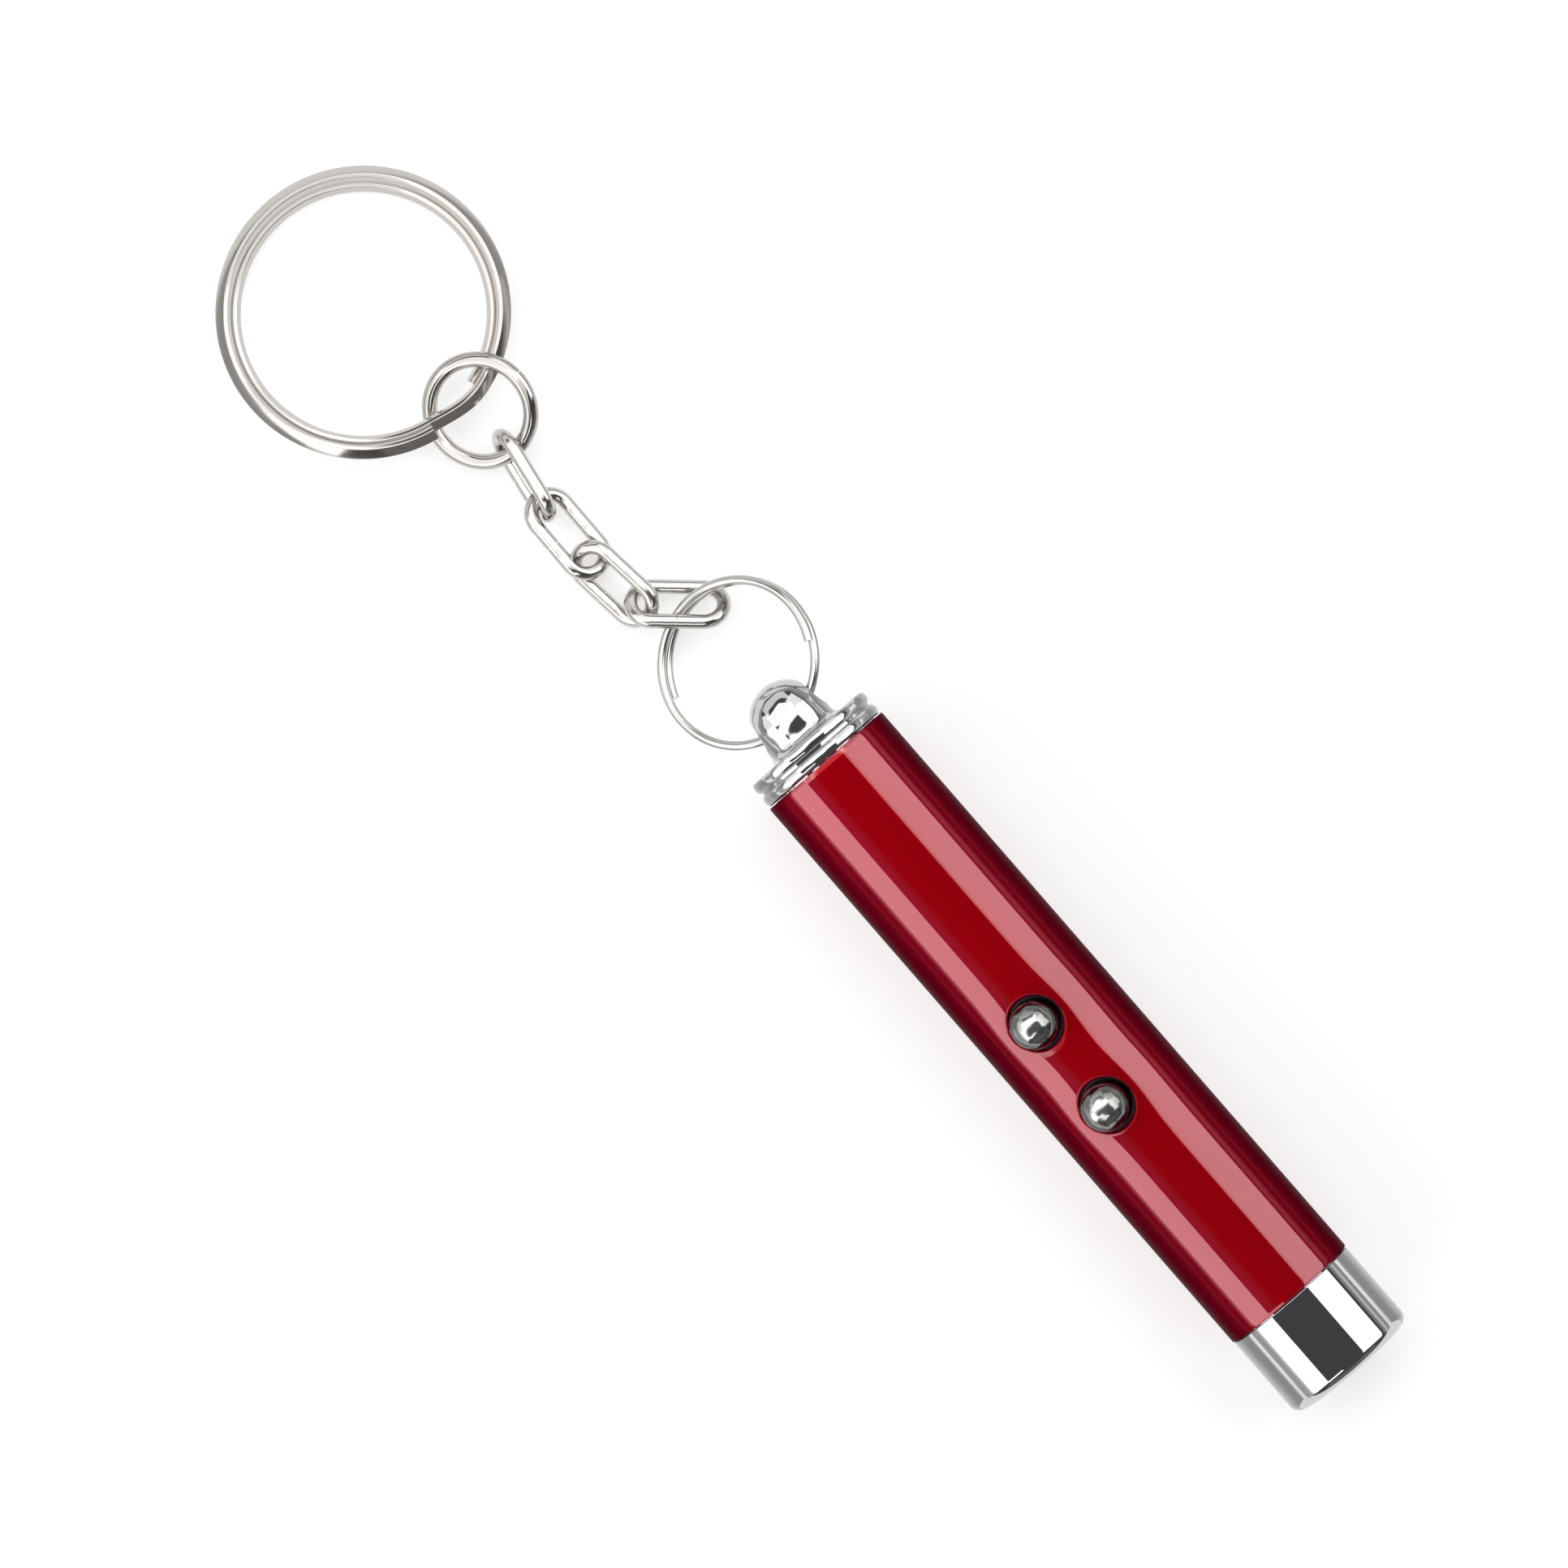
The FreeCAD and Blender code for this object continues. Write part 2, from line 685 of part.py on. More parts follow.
def swept_solid(path, section, flat=False):
    """The section carried along the path, checked against section area times length."""
    sweep = Part.BRepOffsetAPI.MakePipeShell(path)
    if flat:
        sweep.setBiNormalMode(Vector(0, 0, 1))
    sweep.add(section)
    sweep.build()
    sweep.makeSolid()
    solid = sweep.shape()
    expected = Part.Face(section).Area * path.Length
    if abs(solid.Volume - expected) > 0.02 * expected:
        raise RuntimeError(f"a swept wire has {solid.Volume:.2f} mm3, not {expected:.2f}")
    return solid


def least_gap(place_at, last_angle, wire):
    """The least distance between the surfaces of turns that lie over each other."""
    step = 5.0
    angles = [step * index for index in range(int(last_angle / step) + 1)]
    least = 1e9
    for low in angles:
        for high in angles:
            if high - low >= 120.0:
                least = min(least, (place_at(low) - place_at(high)).Length - wire)
    return least


# Tail spring: the coil between the last cell and the tail cap
def make_tail_spring():
    wire = number(dim("contact_wire"))
    pitch = 1.15
    turns = 3.0
    end_radius = 4.0
    tip_radius = 2.6

    def place_at(angle):
        share = angle / (360.0 * turns)
        radius = end_radius + (tip_radius - end_radius) * share
        turn = math.radians(angle)
        return Vector(pitch * turns * share, radius * math.cos(turn), radius * math.sin(turn))

    last = 360.0 * turns
    path = coil_path(place_at, [90.0 * index for index in range(int(last / 90) + 1)])
    way = (place_at(0.01) - place_at(0)).normalize()
    section = Part.Wire(Part.Circle(place_at(0), way, wire / 2).toShape())
    spring = doc.addObject("Part::Feature", "tail_spring")
    spring.Shape = swept_solid(path, section)
    print(f"tail spring: least gap between turns {least_gap(place_at, last, wire):.2f} mm")
    start = cap_front + dim("plug_floor") + dim("contact_wire") / 2 + 0.02
    finish_part(spring, "tail_spring", FreeCAD.Placement(Vector(number(start), 0, 0), Rotation()))


# Split ring through the eye: one and a half turns of round wire. The turn that overlaps lies
# inside the other and a little lower.
SPLIT_OVERLAP = 191.0
SPLIT_CROSS = 28.0
SPLIT_EYE = 254.0


def make_small_split_ring():
    wire = number(dim("split_wire"))
    outer = number(dim("split_outside")) / 2 - wire / 2
    inner = outer - number(dim("split_lane_step"))
    rise = number(dim("split_lane_rise"))
    full_turn = 360.0

    def place_at(angle):
        radius = inner + (outer - inner) * eased((angle - SPLIT_OVERLAP) / SPLIT_CROSS)
        climb = eased((angle - SPLIT_OVERLAP - SPLIT_CROSS) / (full_turn - SPLIT_OVERLAP - SPLIT_CROSS))
        turn = math.radians(SPLIT_EYE - angle)
        return Vector(radius * math.cos(turn), radius * math.sin(turn), rise * climb - rise / 2)

    last = full_turn + SPLIT_OVERLAP
    stations = [0.0, 64.0, 128.0, SPLIT_OVERLAP, SPLIT_OVERLAP + SPLIT_CROSS,
                290.0, full_turn, 424.0, 488.0, last]
    path = coil_path(place_at, stations)
    way = (place_at(0.01) - place_at(0)).normalize()
    circle = Part.Circle(place_at(0), way, wire / 2).toShape()
    circle.rotate(place_at(0), way, 90)
    ring = doc.addObject("Part::Feature", "small_split_ring")
    ring.Shape = swept_solid(path, Part.Wire(circle))
    print(f"small split ring: least gap between turns {least_gap(place_at, last, wire):.2f} mm")
    finish_part(ring, "small_split_ring", lying("small_split_ring"))


# Key ring: two turns of flat strip. The lower turn lies inside the upper one, and the strip
# crosses from one to the other in a short step, with a cut end on each side of it.
KEY_CROSS = 26.0


def make_key_ring():
    strip = number(dim("key_strip"))
    thick = number(dim("key_strip_thick"))
    outer = number(dim("key_outside")) / 2 - strip / 2
    inner = outer - number(dim("key_lane_step"))
    rise = thick + number(dim("key_coil_gap"))
    lap = 360.0 - KEY_CROSS

    def place_at(angle):
        share = eased((angle - lap) / KEY_CROSS)
        radius = inner + (outer - inner) * share
        turn = math.radians(angle)
        return Vector(radius * math.cos(turn), radius * math.sin(turn), rise * share - rise / 2)

    last = lap + 360.0
    quarter = lap / 4
    stations = [quarter * index for index in range(5)]
    stations += [360.0 + quarter * index for index in range(5)]
    path = coil_path(place_at, stations)
    start = place_at(0)
    section = strip_section(start, Vector(1, 0, 0), Vector(0, 0, 1), strip, thick, 0.3)
    ring = doc.addObject("Part::Feature", "key_ring")
    ring.Shape = swept_solid(path, section, flat=True)
    print(f"key ring: gap between its turns {rise - thick:.2f} mm")
    finish_part(ring, "key_ring", lying("key_ring"))


def wire_ring(name, radius, wire, x, turn, sweep):
    """A torus, or part of one, in the local XY plane."""
    ring = doc.addObject("Part::Torus", name)
    bind(ring, "Radius1", radius)
    bind(ring, "Radius2", wire / 2)
    ring.Angle3 = sweep
    ring.Placement = FreeCAD.Placement(Vector(number(x), 0, 0), Rotation(Vector(0, 0, 1), turn))
    return ring


def slit(name, x, y, wire):
    """A thin block that cuts the butt joint of a bent wire."""
    side = wire * 2
    block = doc.addObject("Part::Box", name)
    bind(block, "Length", dim("wire_seam"))
    bind(block, "Width", side)
    bind(block, "Height", side)
    block.Placement = FreeCAD.Placement(
        Vector(number(x), number(y) - number(side) / 2, -number(side) / 2), Rotation())
    return block


def make_link(name):
    """An oval chain link: two half rounds, two straight sides, and a butt joint in one side."""
    wire = dim("link_wire")
    bend = (dim("link_width") - wire) / 2
    straight = dim("link_length") - dim("link_width")
    pieces = [wire_ring(f"{name}_front_bend", bend, wire, straight / 2, -90, 180),
              wire_ring(f"{name}_back_bend", bend, wire, -straight / 2, 90, 180)]
    for label, side in (("left", 1), ("right", -1)):
        bar = doc.addObject("Part::Cylinder", f"{name}_{label}_side")
        bind(bar, "Radius", wire / 2)
        bind(bar, "Height", straight)
        bar.Placement = FreeCAD.Placement(
            Vector(-number(straight) / 2, side * number(bend), 0), Rotation(Vector(0, 1, 0), 90))
        pieces.append(bar)
    loop = doc.addObject("Part::MultiFuse", f"{name}_loop")
    loop.Shapes = pieces
    link = doc.addObject("Part::Cut", name)
    link.Base = loop
    link.Tool = slit(f"{name}_slit", -0.03, -bend, wire)
    finish_part(link, name, lying(name))


def make_jump_ring():
    wire = dim("jump_wire")
    radius = (dim("jump_outside") - wire) / 2
    ring = doc.addObject("Part::Cut", "jump_ring")
    ring.Base = wire_ring("jump_ring_loop", radius, wire, 0, 0, 360)
    ring.Tool = slit("jump_ring_slit", -0.03, radius, wire)
    finish_part(ring, "jump_ring", lying("jump_ring"))


# How each piece of the chain lies: the middle of its loop, then heading, pitch and roll.
# A link's heading is that of its long side, from the beam axis towards +Y.
LIES = {
    "small_split_ring": (-88.15, -0.10, -2.25, -3.0, -19.0, 16.0),
    "chain_link_4": (-96.15, -0.85, -4.80, 48.0, 0.5, -32.5),
    "chain_link_3": (-101.55, -4.10, -5.15, 6.0, 1.0, 31.5),
    "chain_link_2": (-108.00, -4.30, -4.95, -0.5, 1.5, -22.5),
    "chain_link_1": (-114.85, -3.80, -4.35, -9.5, 0.5, 75.0),
    "jump_ring": (-122.20, -2.90, -3.90, 3.5, 1.0, 22.5),
    "key_ring": (-136.50, -5.15, -4.55, 16.0, -3.0, -4.0),
}


def lying(name):
    x, y, z, heading, pitch, roll = LIES[name]
    return FreeCAD.Placement(Vector(x, y, z), Rotation(heading, pitch, roll))


make_barrel()
make_nose()
make_lamp_holder()
make_led()
make_laser_module()
make_board()
for button_label, button_station in button_stations.items():
    make_switch(button_label, button_station)
    make_button(button_label, button_station)
make_carriers()
make_battery()
make_tail_spring()
make_tail_cap()
make_small_split_ring()
for link_number in (4, 3, 2, 1):
    make_link(f"chain_link_{link_number}")
make_jump_ring()
make_key_ring()

# Every object must have recomputed, and every sub-part must be a sound solid
doc.recompute()
for item in doc.Objects:
    if "Invalid" in item.State or "Error" in item.State:
        raise RuntimeError(f"{item.Name} failed: {item.State}")
os.makedirs("parts", exist_ok=True)
for part_name, part_object in made:
    shape = part_object.Shape
    if shape.isNull() or not shape.isValid() or not shape.Solids:
        raise RuntimeError(f"{part_name} has no sound solid")
    shape.exportStep(os.path.join("parts", f"{part_name}.step"))
    print(f"{part_name}: {len(shape.Solids)} solid, {shape.Volume:.2f} mm3")
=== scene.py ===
# %% [markdown]
# # A pocket laser pointer on its key chain
# The model has three looks to get right: a red lacquered tube that mirrors two long studio
# lights, bright chrome on the nose, the buttons and the tail cap, and bent nickel wire in the
# chain. All of them are reflections, so the meshes are smooth and fine, and the lights are
# placed as carefully as the metal. Lengths are in millimetres until a mesh is stored in metres.

import math

import bmesh
import bpy
import numpy as np
from mathutils import Matrix, Vector


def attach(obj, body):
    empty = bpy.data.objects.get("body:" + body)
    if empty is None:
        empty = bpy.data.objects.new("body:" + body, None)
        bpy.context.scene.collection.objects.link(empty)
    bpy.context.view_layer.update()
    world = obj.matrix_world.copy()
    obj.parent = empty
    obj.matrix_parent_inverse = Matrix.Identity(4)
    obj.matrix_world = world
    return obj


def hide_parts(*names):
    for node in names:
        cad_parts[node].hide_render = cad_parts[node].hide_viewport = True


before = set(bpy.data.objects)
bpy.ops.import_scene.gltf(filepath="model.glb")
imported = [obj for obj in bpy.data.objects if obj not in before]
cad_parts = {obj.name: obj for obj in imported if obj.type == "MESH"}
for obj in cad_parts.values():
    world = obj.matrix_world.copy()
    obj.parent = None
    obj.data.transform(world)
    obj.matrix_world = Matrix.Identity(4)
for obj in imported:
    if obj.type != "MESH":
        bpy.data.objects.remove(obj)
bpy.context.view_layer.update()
MM = 0.001

# %% [markdown]
# ## Places
# The pointer lies rolled a little, so its buttons lean away from the upright. Everything that
# is fixed in the barrel is modelled upright and then turned by that lean.

# %% Stations along the beam, and the barrel's lean
BARREL_RADIUS = 7.0
BARREL_BORE = 6.2
BARREL_FRONT = -9.15
BARREL_BACK = -75.75
BUTTONS = {"laser_button": -34.15, "light_button": -44.3}
BUTTON_HOLE = 2.62
LEAN_ANGLE = 12.0
LEAN = Matrix.Rotation(math.radians(LEAN_ANGLE), 4, "X")
NO_TURN = Matrix.Identity(4)
print(f"the barrel is {BARREL_FRONT - BARREL_BACK:.1f} mm long and rolled by {LEAN_ANGLE:.0f} degrees")

# %% [markdown]
# ## Storing a piece
# A piece can come from Blender's own tools or from a list of points and faces. Most pieces here
# are lists, because a formula then gives each point its exact place. One helper merges double
# points, turns the faces outwards and moves the mesh to its place, in metres, so that every
# finished object sits at the origin. Edges between faces that meet steeply are marked sharp,
# and all others are shaded smooth.


# %% Helpers that store points and faces as a finished piece
def mark_sharp(work, smooth_angle=30.0):
    """Shades every face smooth, but keeps the edges that are steeper than the angle."""
    for face in work.faces:
        face.smooth = True
    for edge in work.edges:
        sharp = len(edge.link_faces) == 2 and edge.calc_face_angle() > math.radians(smooth_angle)
        edge.smooth = not sharp


def settle_piece(name, mesh, matrix, merge, smooth_angle):
    """Cleans a mesh, moves it by the matrix and makes an object of it, at the origin."""
    work = bmesh.new()
    work.from_mesh(mesh)
    bmesh.ops.remove_doubles(work, verts=work.verts, dist=merge)
    bmesh.ops.recalc_face_normals(work, faces=work.faces)
    bmesh.ops.transform(work, matrix=matrix, verts=work.verts)
    mark_sharp(work, smooth_angle)
    work.to_mesh(mesh)
    work.free()
    piece = bpy.data.objects.new(name, mesh)
    bpy.context.scene.collection.objects.link(piece)
    return piece


def store_piece(name, points, faces, place=NO_TURN, smooth_angle=30.0, merge=0.0005):
    """Makes a piece of points in millimetres, with its place in its mesh."""
    mesh = bpy.data.meshes.new(name)
    mesh.from_pydata([tuple(p) for p in points], [], [tuple(f) for f in faces])
    return settle_piece(name, mesh, Matrix.Scale(MM, 4) @ place, merge, smooth_angle)


def finish_piece(piece, body, material, slot, *nodes):
    """Gives a piece its finish, its body and the CAD nodes that it stands for."""
    piece.data.materials.clear()
    piece.data.materials.append(material)
    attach(piece, body)
    if nodes:
        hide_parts(*nodes)
    print(f"{piece.name}: {len(piece.data.polygons)} faces")
    return piece


# %% [markdown]
# ## Finishes
# Polished metal is never quite even. It has faint smudges that change the sharpness of the
# reflection, fine lines left by polishing or by drawing the wire, and gentle waves where plating
# lies over a casting. Each effect is a shader node group, so every finish uses the same groups
# with its own values. Smudges come first: a cloud of noise picks, point by point, between a clean
# and a smudged roughness. An image could do that, but it shows a seam where its edges meet, and
# noise on the object's own coordinates has none.

# %% Small helpers for shader nodes
def set_inputs(node, values):
    """Sets a node's inputs from a table of names and values."""
    for label, value in values.items():
        node.inputs[label].default_value = value
    return node


def texture(nodes, links, kind, values):
    """A texture on the object's own coordinates."""
    node = set_inputs(nodes.new(kind), values)
    links.new(nodes.new("ShaderNodeTexCoord").outputs["Object"], node.inputs["Vector"])
    return node


def start_group(name, inputs, output):
    """A shader node group with named inputs and one float output."""
    group = bpy.data.node_groups.new(name, "ShaderNodeTree")
    for label, kind in inputs:
        group.interface.new_socket(label, in_out="INPUT", socket_type=kind)
    group.interface.new_socket(output, in_out="OUTPUT", socket_type="NodeSocketFloat")
    nodes = group.nodes
    return group, nodes, group.links, nodes.new("NodeGroupInput"), nodes.new("NodeGroupOutput")


# %% Shader group: smudges that change the roughness
def make_smudges():
    inputs = [(label, "NodeSocketFloat") for label in ("Scale", "Clean", "Smudged")]
    group, nodes, links, inside, outside = start_group("handling_smudges", inputs, "Roughness")
    cloud = texture(nodes, links, "ShaderNodeTexNoise", {"Detail": 5.0, "Roughness": 0.62})
    spread = set_inputs(nodes.new("ShaderNodeMapRange"), {"From Min": 0.38, "From Max": 0.72})
    links.new(inside.outputs["Scale"], cloud.inputs["Scale"])
    links.new(cloud.outputs["Fac"], spread.inputs["Value"])
    links.new(inside.outputs["Clean"], spread.inputs["To Min"])
    links.new(inside.outputs["Smudged"], spread.inputs["To Max"])
    links.new(spread.outputs["Result"], outside.inputs["Roughness"])
    return group


smudges = make_smudges()
print("shader group:", smudges.name)

# %% [markdown]
# Buffing and drawing leave fine lines that all run one way. Modelling them would take millions
# of faces. Noise does it when its coordinates are shrunk along the lines and kept across them:
# it then changes quickly across and slowly along, and its value is used as a height for a bump.


# %% Shader group: fine polishing or drawing lines as a height
def make_polish_lines():
    inputs = [("Along", "NodeSocketVector"), ("Fineness", "NodeSocketFloat")]
    group, nodes, links, inside, outside = start_group("polish_lines", inputs, "Height")
    where = nodes.new("ShaderNodeTexCoord")
    stretch = nodes.new("ShaderNodeVectorMath")
    stretch.operation = "MULTIPLY"
    lines = set_inputs(nodes.new("ShaderNodeTexNoise"), {"Detail": 3.0})
    links.new(where.outputs["Object"], stretch.inputs[0])
    links.new(inside.outputs["Along"], stretch.inputs[1])
    links.new(stretch.outputs["Vector"], lines.inputs["Vector"])
    links.new(inside.outputs["Fineness"], lines.inputs["Scale"])
    links.new(lines.outputs["Fac"], outside.inputs["Height"])
    return group


polish_lines = make_polish_lines()
print("shader group:", polish_lines.name)

# %% [markdown]
# The tail cap and the buttons start as castings, and after turning and plating they still have
# gentle waves. These are too low to see as a shape, but they bend every reflection. Broad noise
# as a height does that, and the same group serves the chain and the clear lamp too, with a
# closeness and a depth of their own.


# %% Shader group: gentle waves, which plating over a casting keeps
def make_waves():
    group, nodes, links, inside, outside = start_group(
        "gentle_waves", [("Closeness", "NodeSocketFloat")], "Height")
    waves = texture(nodes, links, "ShaderNodeTexNoise", {"Detail": 1.0, "Roughness": 0.4})
    links.new(inside.outputs["Closeness"], waves.inputs["Scale"])
    links.new(waves.outputs["Fac"], outside.inputs["Height"])
    return group


gentle_waves = make_waves()
print("shader group:", gentle_waves.name)

# %% [markdown]
# Every finish starts in the same way: a Principled shader with its colour, metal or not, and
# the uneven roughness. Reliefs are added after that. Each is a bump, and a second bump takes
# the first one's normal as its own ground, so waves and lines lie on top of each other.


# %% Helpers that start a material and add relief to it
def new_material(name):
    """A material with its nodes, its links and its Principled shader."""
    material = bpy.data.materials.new(name)
    material.use_nodes = True
    nodes = material.node_tree.nodes
    return material, nodes, material.node_tree.links, nodes["Principled BSDF"]


def start_material(name, color, metallic, clean, smudged, smudge_scale):
    """A Principled material with uneven gloss. Returns the material and its shader."""
    material, nodes, links, shader = new_material(name)
    set_inputs(shader, {"Base Color": (*color, 1.0), "Metallic": metallic})
    uneven = nodes.new("ShaderNodeGroup")
    uneven.node_tree = smudges
    set_inputs(uneven, {"Scale": smudge_scale, "Clean": clean, "Smudged": smudged})
    links.new(uneven.outputs["Roughness"], shader.inputs["Roughness"])
    return material, shader


def add_relief(material, shader, group, values, strength, depth):
    """Adds a group's height to a material as a bump, on top of any bump that is there."""
    nodes, links = material.node_tree.nodes, material.node_tree.links
    relief = nodes.new("ShaderNodeGroup")
    relief.node_tree = group
    set_inputs(relief, values)
    bump = set_inputs(nodes.new("ShaderNodeBump"), {"Strength": strength, "Distance": depth})
    links.new(relief.outputs["Height"], bump.inputs["Height"])
    if shader.inputs["Normal"].is_linked:
        links.new(shader.inputs["Normal"].links[0].from_socket, bump.inputs["Normal"])
    links.new(bump.outputs["Normal"], shader.inputs["Normal"])


LINE_DEPTH = 0.02 * MM


def add_lines(material, shader, along, fineness, strength):
    values = {"Along": along, "Fineness": fineness}
    add_relief(material, shader, polish_lines, values, strength, LINE_DEPTH)


def add_waves(material, shader, closeness, depth):
    add_relief(material, shader, gentle_waves, {"Closeness": closeness}, 1.0, depth)


# %% [markdown]
# The lacquer is a clear red coat over polished metal. Light that crosses it at a slant travels
# further through the red, so the tube darkens to maroon towards its edges. The smooth outer
# surface mirrors the studio lights sharply and without colour: that gives the pink bands. A layer
# of tinted glass could do this, but it needs many light paths. Two ramps over the slant of the
# surface do the same at once: one sets the depth of the red, the other how much the coat mirrors.

# %% The red lacquer
# A Mix node has a set of sockets for each kind of data. These are the ones for colours.
MIX_SHARE, MIX_FIRST, MIX_SECOND, MIX_RESULT = 0, 6, 7, 2


def ramp(nodes, stops):
    """A colour ramp with the given (position, colour) stops."""
    node = nodes.new("ShaderNodeValToRGB")
    elements = node.color_ramp.elements
    while len(elements) < len(stops):
        elements.new(0.5)
    for element, (position, color) in zip(elements, stops):
        element.position = position
        element.color = (*color, 1.0)
    return node


def grey_ramp(nodes, stops):
    """A ramp through greys, from (position, value) stops."""
    return ramp(nodes, [(position, (value, value, value)) for position, value in stops])


def ramp_over(nodes, links, value, low, high, shades):
    """Feeds a ramp with a value that runs from low to high. Returns the ramp's colour."""
    spread = set_inputs(nodes.new("ShaderNodeMapRange"), {"From Min": low, "From Max": high})
    links.new(value, spread.inputs["Value"])
    links.new(spread.outputs["Result"], shades.inputs["Fac"])
    return shades.outputs["Color"]


def make_lacquer():
    material, shader = start_material("red_lacquer", (0.44, 0.001, 0.008), 0.25, 0.04, 0.08, 60.0)
    nodes, links = material.node_tree.nodes, material.node_tree.links
    set_inputs(shader, {"Coat Roughness": 0.012, "Coat IOR": 1.8, "Specular IOR Level": 0.0,
                        "Specular Tint": (0.30, 0.0, 0.02, 1.0)})
    slant = set_inputs(nodes.new("ShaderNodeLayerWeight"), {"Blend": 0.5})
    depth = ramp(nodes, [(0.0, (0.37, 0.0, 0.004)), (0.04, (0.38, 0.0, 0.006)), (0.06, (0.40, 0.0, 0.022)),
                         (0.24, (0.38, 0.0, 0.020)), (0.27, (0.24, 0.0, 0.011)), (0.36, (0.165, 0.0, 0.009)),
                         (0.52, (0.115, 0.0, 0.008)), (0.72, (0.09, 0.0, 0.009)), (1.0, (0.06, 0.01, 0.014))])
    gloss = grey_ramp(nodes, [(0.0, 0.12), (0.025, 0.12), (0.042, 1.0), (0.24, 1.0),
                              (0.28, 0.05), (0.52, 0.0), (0.66, 0.07), (0.85, 0.12)])
    links.new(slant.outputs["Facing"], depth.inputs["Fac"])
    links.new(slant.outputs["Facing"], gloss.inputs["Fac"])
    links.new(gloss.outputs["Color"], shader.inputs["Coat Weight"])
    pool = texture(nodes, links, "ShaderNodeTexNoise", {"Scale": 35.0, "Detail": 3.0})
    uneven = grey_ramp(nodes, [(0.35, 0.86), (0.70, 1.0)])
    mix = nodes.new("ShaderNodeMix")
    mix.data_type = "RGBA"
    mix.blend_type = "MULTIPLY"
    mix.inputs[MIX_SHARE].default_value = 1.0
    links.new(pool.outputs["Fac"], uneven.inputs["Fac"])
    links.new(depth.outputs["Color"], mix.inputs[MIX_FIRST])
    links.new(uneven.outputs["Color"], mix.inputs[MIX_SECOND])
    links.new(mix.outputs[MIX_RESULT], shader.inputs["Base Color"])
    return material


red_lacquer = make_lacquer()
print("the lacquer has", len(red_lacquer.node_tree.nodes), "shader nodes")

# %% [markdown]
# Chrome plating is a near-perfect mirror with a slight blue-grey cast. Nickel wire is a little
# warmer and softer, because it is tumbled rather than buffed, and keeps its drawing lines. One
# recipe makes them all, and a table gives each its colour, gloss, lines and waves, so that the
# metals of the part stay comparable with each other.

# %% Chrome and nickel
def plated(name, color, gloss, lines, waves=None):
    """Plated metal. Gloss is (clean, smudged, smudge scale), waves are (closeness, depth in mm)."""
    material, shader = start_material(name, color, 1.0, *gloss)
    if waves:
        add_waves(material, shader, waves[0], waves[1] * MM)
    add_lines(material, shader, *lines)
    return material


PLATED = {
    "bright_chrome": ((0.57, 0.57, 0.58), (0.03, 0.07, 90.0), ((1.0, 0.06, 0.06), 900.0, 0.05)),
    "cast_chrome": ((0.57, 0.57, 0.58), (0.05, 0.11, 200.0), ((1.0, 0.2, 0.2), 900.0, 0.05), (480.0, 0.20)),
    "button_chrome": ((0.55, 0.55, 0.55), (0.16, 0.24, 300.0), ((1.0, 1.0, 0.1), 1500.0, 0.05), (760.0, 0.20)),
    "chain_nickel": ((0.57, 0.55, 0.525), (0.14, 0.22, 250.0), ((0.3, 0.3, 1.0), 1600.0, 0.10), (700.0, 0.04)),
    "ring_nickel": ((0.50, 0.475, 0.45), (0.11, 0.17, 220.0), ((0.2, 0.2, 1.0), 2200.0, 0.12)),
    "strip_nickel": ((0.57, 0.545, 0.515), (0.11, 0.17, 220.0), ((0.2, 0.2, 1.0), 2200.0, 0.12)),
    "pale_nickel": ((0.56, 0.55, 0.53), (0.15, 0.24, 260.0), ((0.25, 0.25, 1.0), 2000.0, 0.12)),
}
metals = {name: plated(name, *values) for name, values in PLATED.items()}
print("plated metals:", ", ".join(metals))

# %% [markdown]
# A button's base colour is painted darker low down: painted shade, where the hole's edge shades the
# foot of the dome. The dome is one turned piece, so the shade is a ramp over its height, measured along
# the leaning button. A painted image would do too, but a ramp needs no unwrapping and stays sharp at any
# distance.

# %% The buttons' painted shade, from the foot of the dome to its top
DOME = 2.3
DOME_CENTRE = 7.95


def painted_shade_towards_foot(material):
    nodes, links = material.node_tree.nodes, material.node_tree.links
    where = nodes.new("ShaderNodeTexCoord")
    height = nodes.new("ShaderNodeVectorMath")
    height.operation = "DOT_PRODUCT"
    height.inputs[1].default_value = LEAN.to_3x3() @ Vector((0.0, 0.0, 1.0))
    links.new(where.outputs["Object"], height.inputs[0])
    # Painted shade: the colour runs from near black at the foot of the dome up to bright chrome at its top.
    shades = ramp(nodes, [(0.0, (0.08, 0.06, 0.06)), (0.3, (0.16, 0.155, 0.15)), (0.55, (0.25, 0.25, 0.24)),
                          (0.76, (0.30, 0.30, 0.29)), (0.88, (0.42, 0.42, 0.41)), (0.95, (0.55, 0.55, 0.55))])
    foot, top = DOME_CENTRE * MM, (DOME_CENTRE + DOME) * MM
    color = ramp_over(nodes, links, height.outputs["Value"], foot, top, shades)
    links.new(color, nodes["Principled BSDF"].inputs["Base Color"])


painted_shade_towards_foot(metals["button_chrome"])
# Prints the height over which the painted shade runs.
print(f"the buttons' wear runs over {DOME:.1f} mm of height")

# %% [markdown]
# ## The barrel
# The tube is a long cylinder, pressed in softly round each of its two button holes, with the
# hole's edge rolled over. Cutting the holes with a boolean would be quicker, but it leaves long
# thin faces, and on a mirror each one shows as a crease. So the tube is unrolled in thought into
# a flat sheet, its points are placed on that sheet, and a formula presses them in.

# %% How deep the barrel is pressed in around its buttons
PRESS_DEPTH = 0.30
PRESS_REACH = 3.3
PRESS_SIDE = 1.5  # the angle, in radians, beyond which the tube is left round
LIP = 0.34
PATCH = 5.075


def pressed(x, s, radius):
    """Depth of the soft hollow at a point of the unrolled barrel."""
    y = radius * math.sin(s / radius)
    if abs(s / radius) > PRESS_SIDE:
        return 0.0
    depth = 0.0
    for station in BUTTONS.values():
        reach = math.hypot(x - station, y)
        depth += PRESS_DEPTH * math.exp(-((reach / PRESS_REACH) ** 2))
    return depth


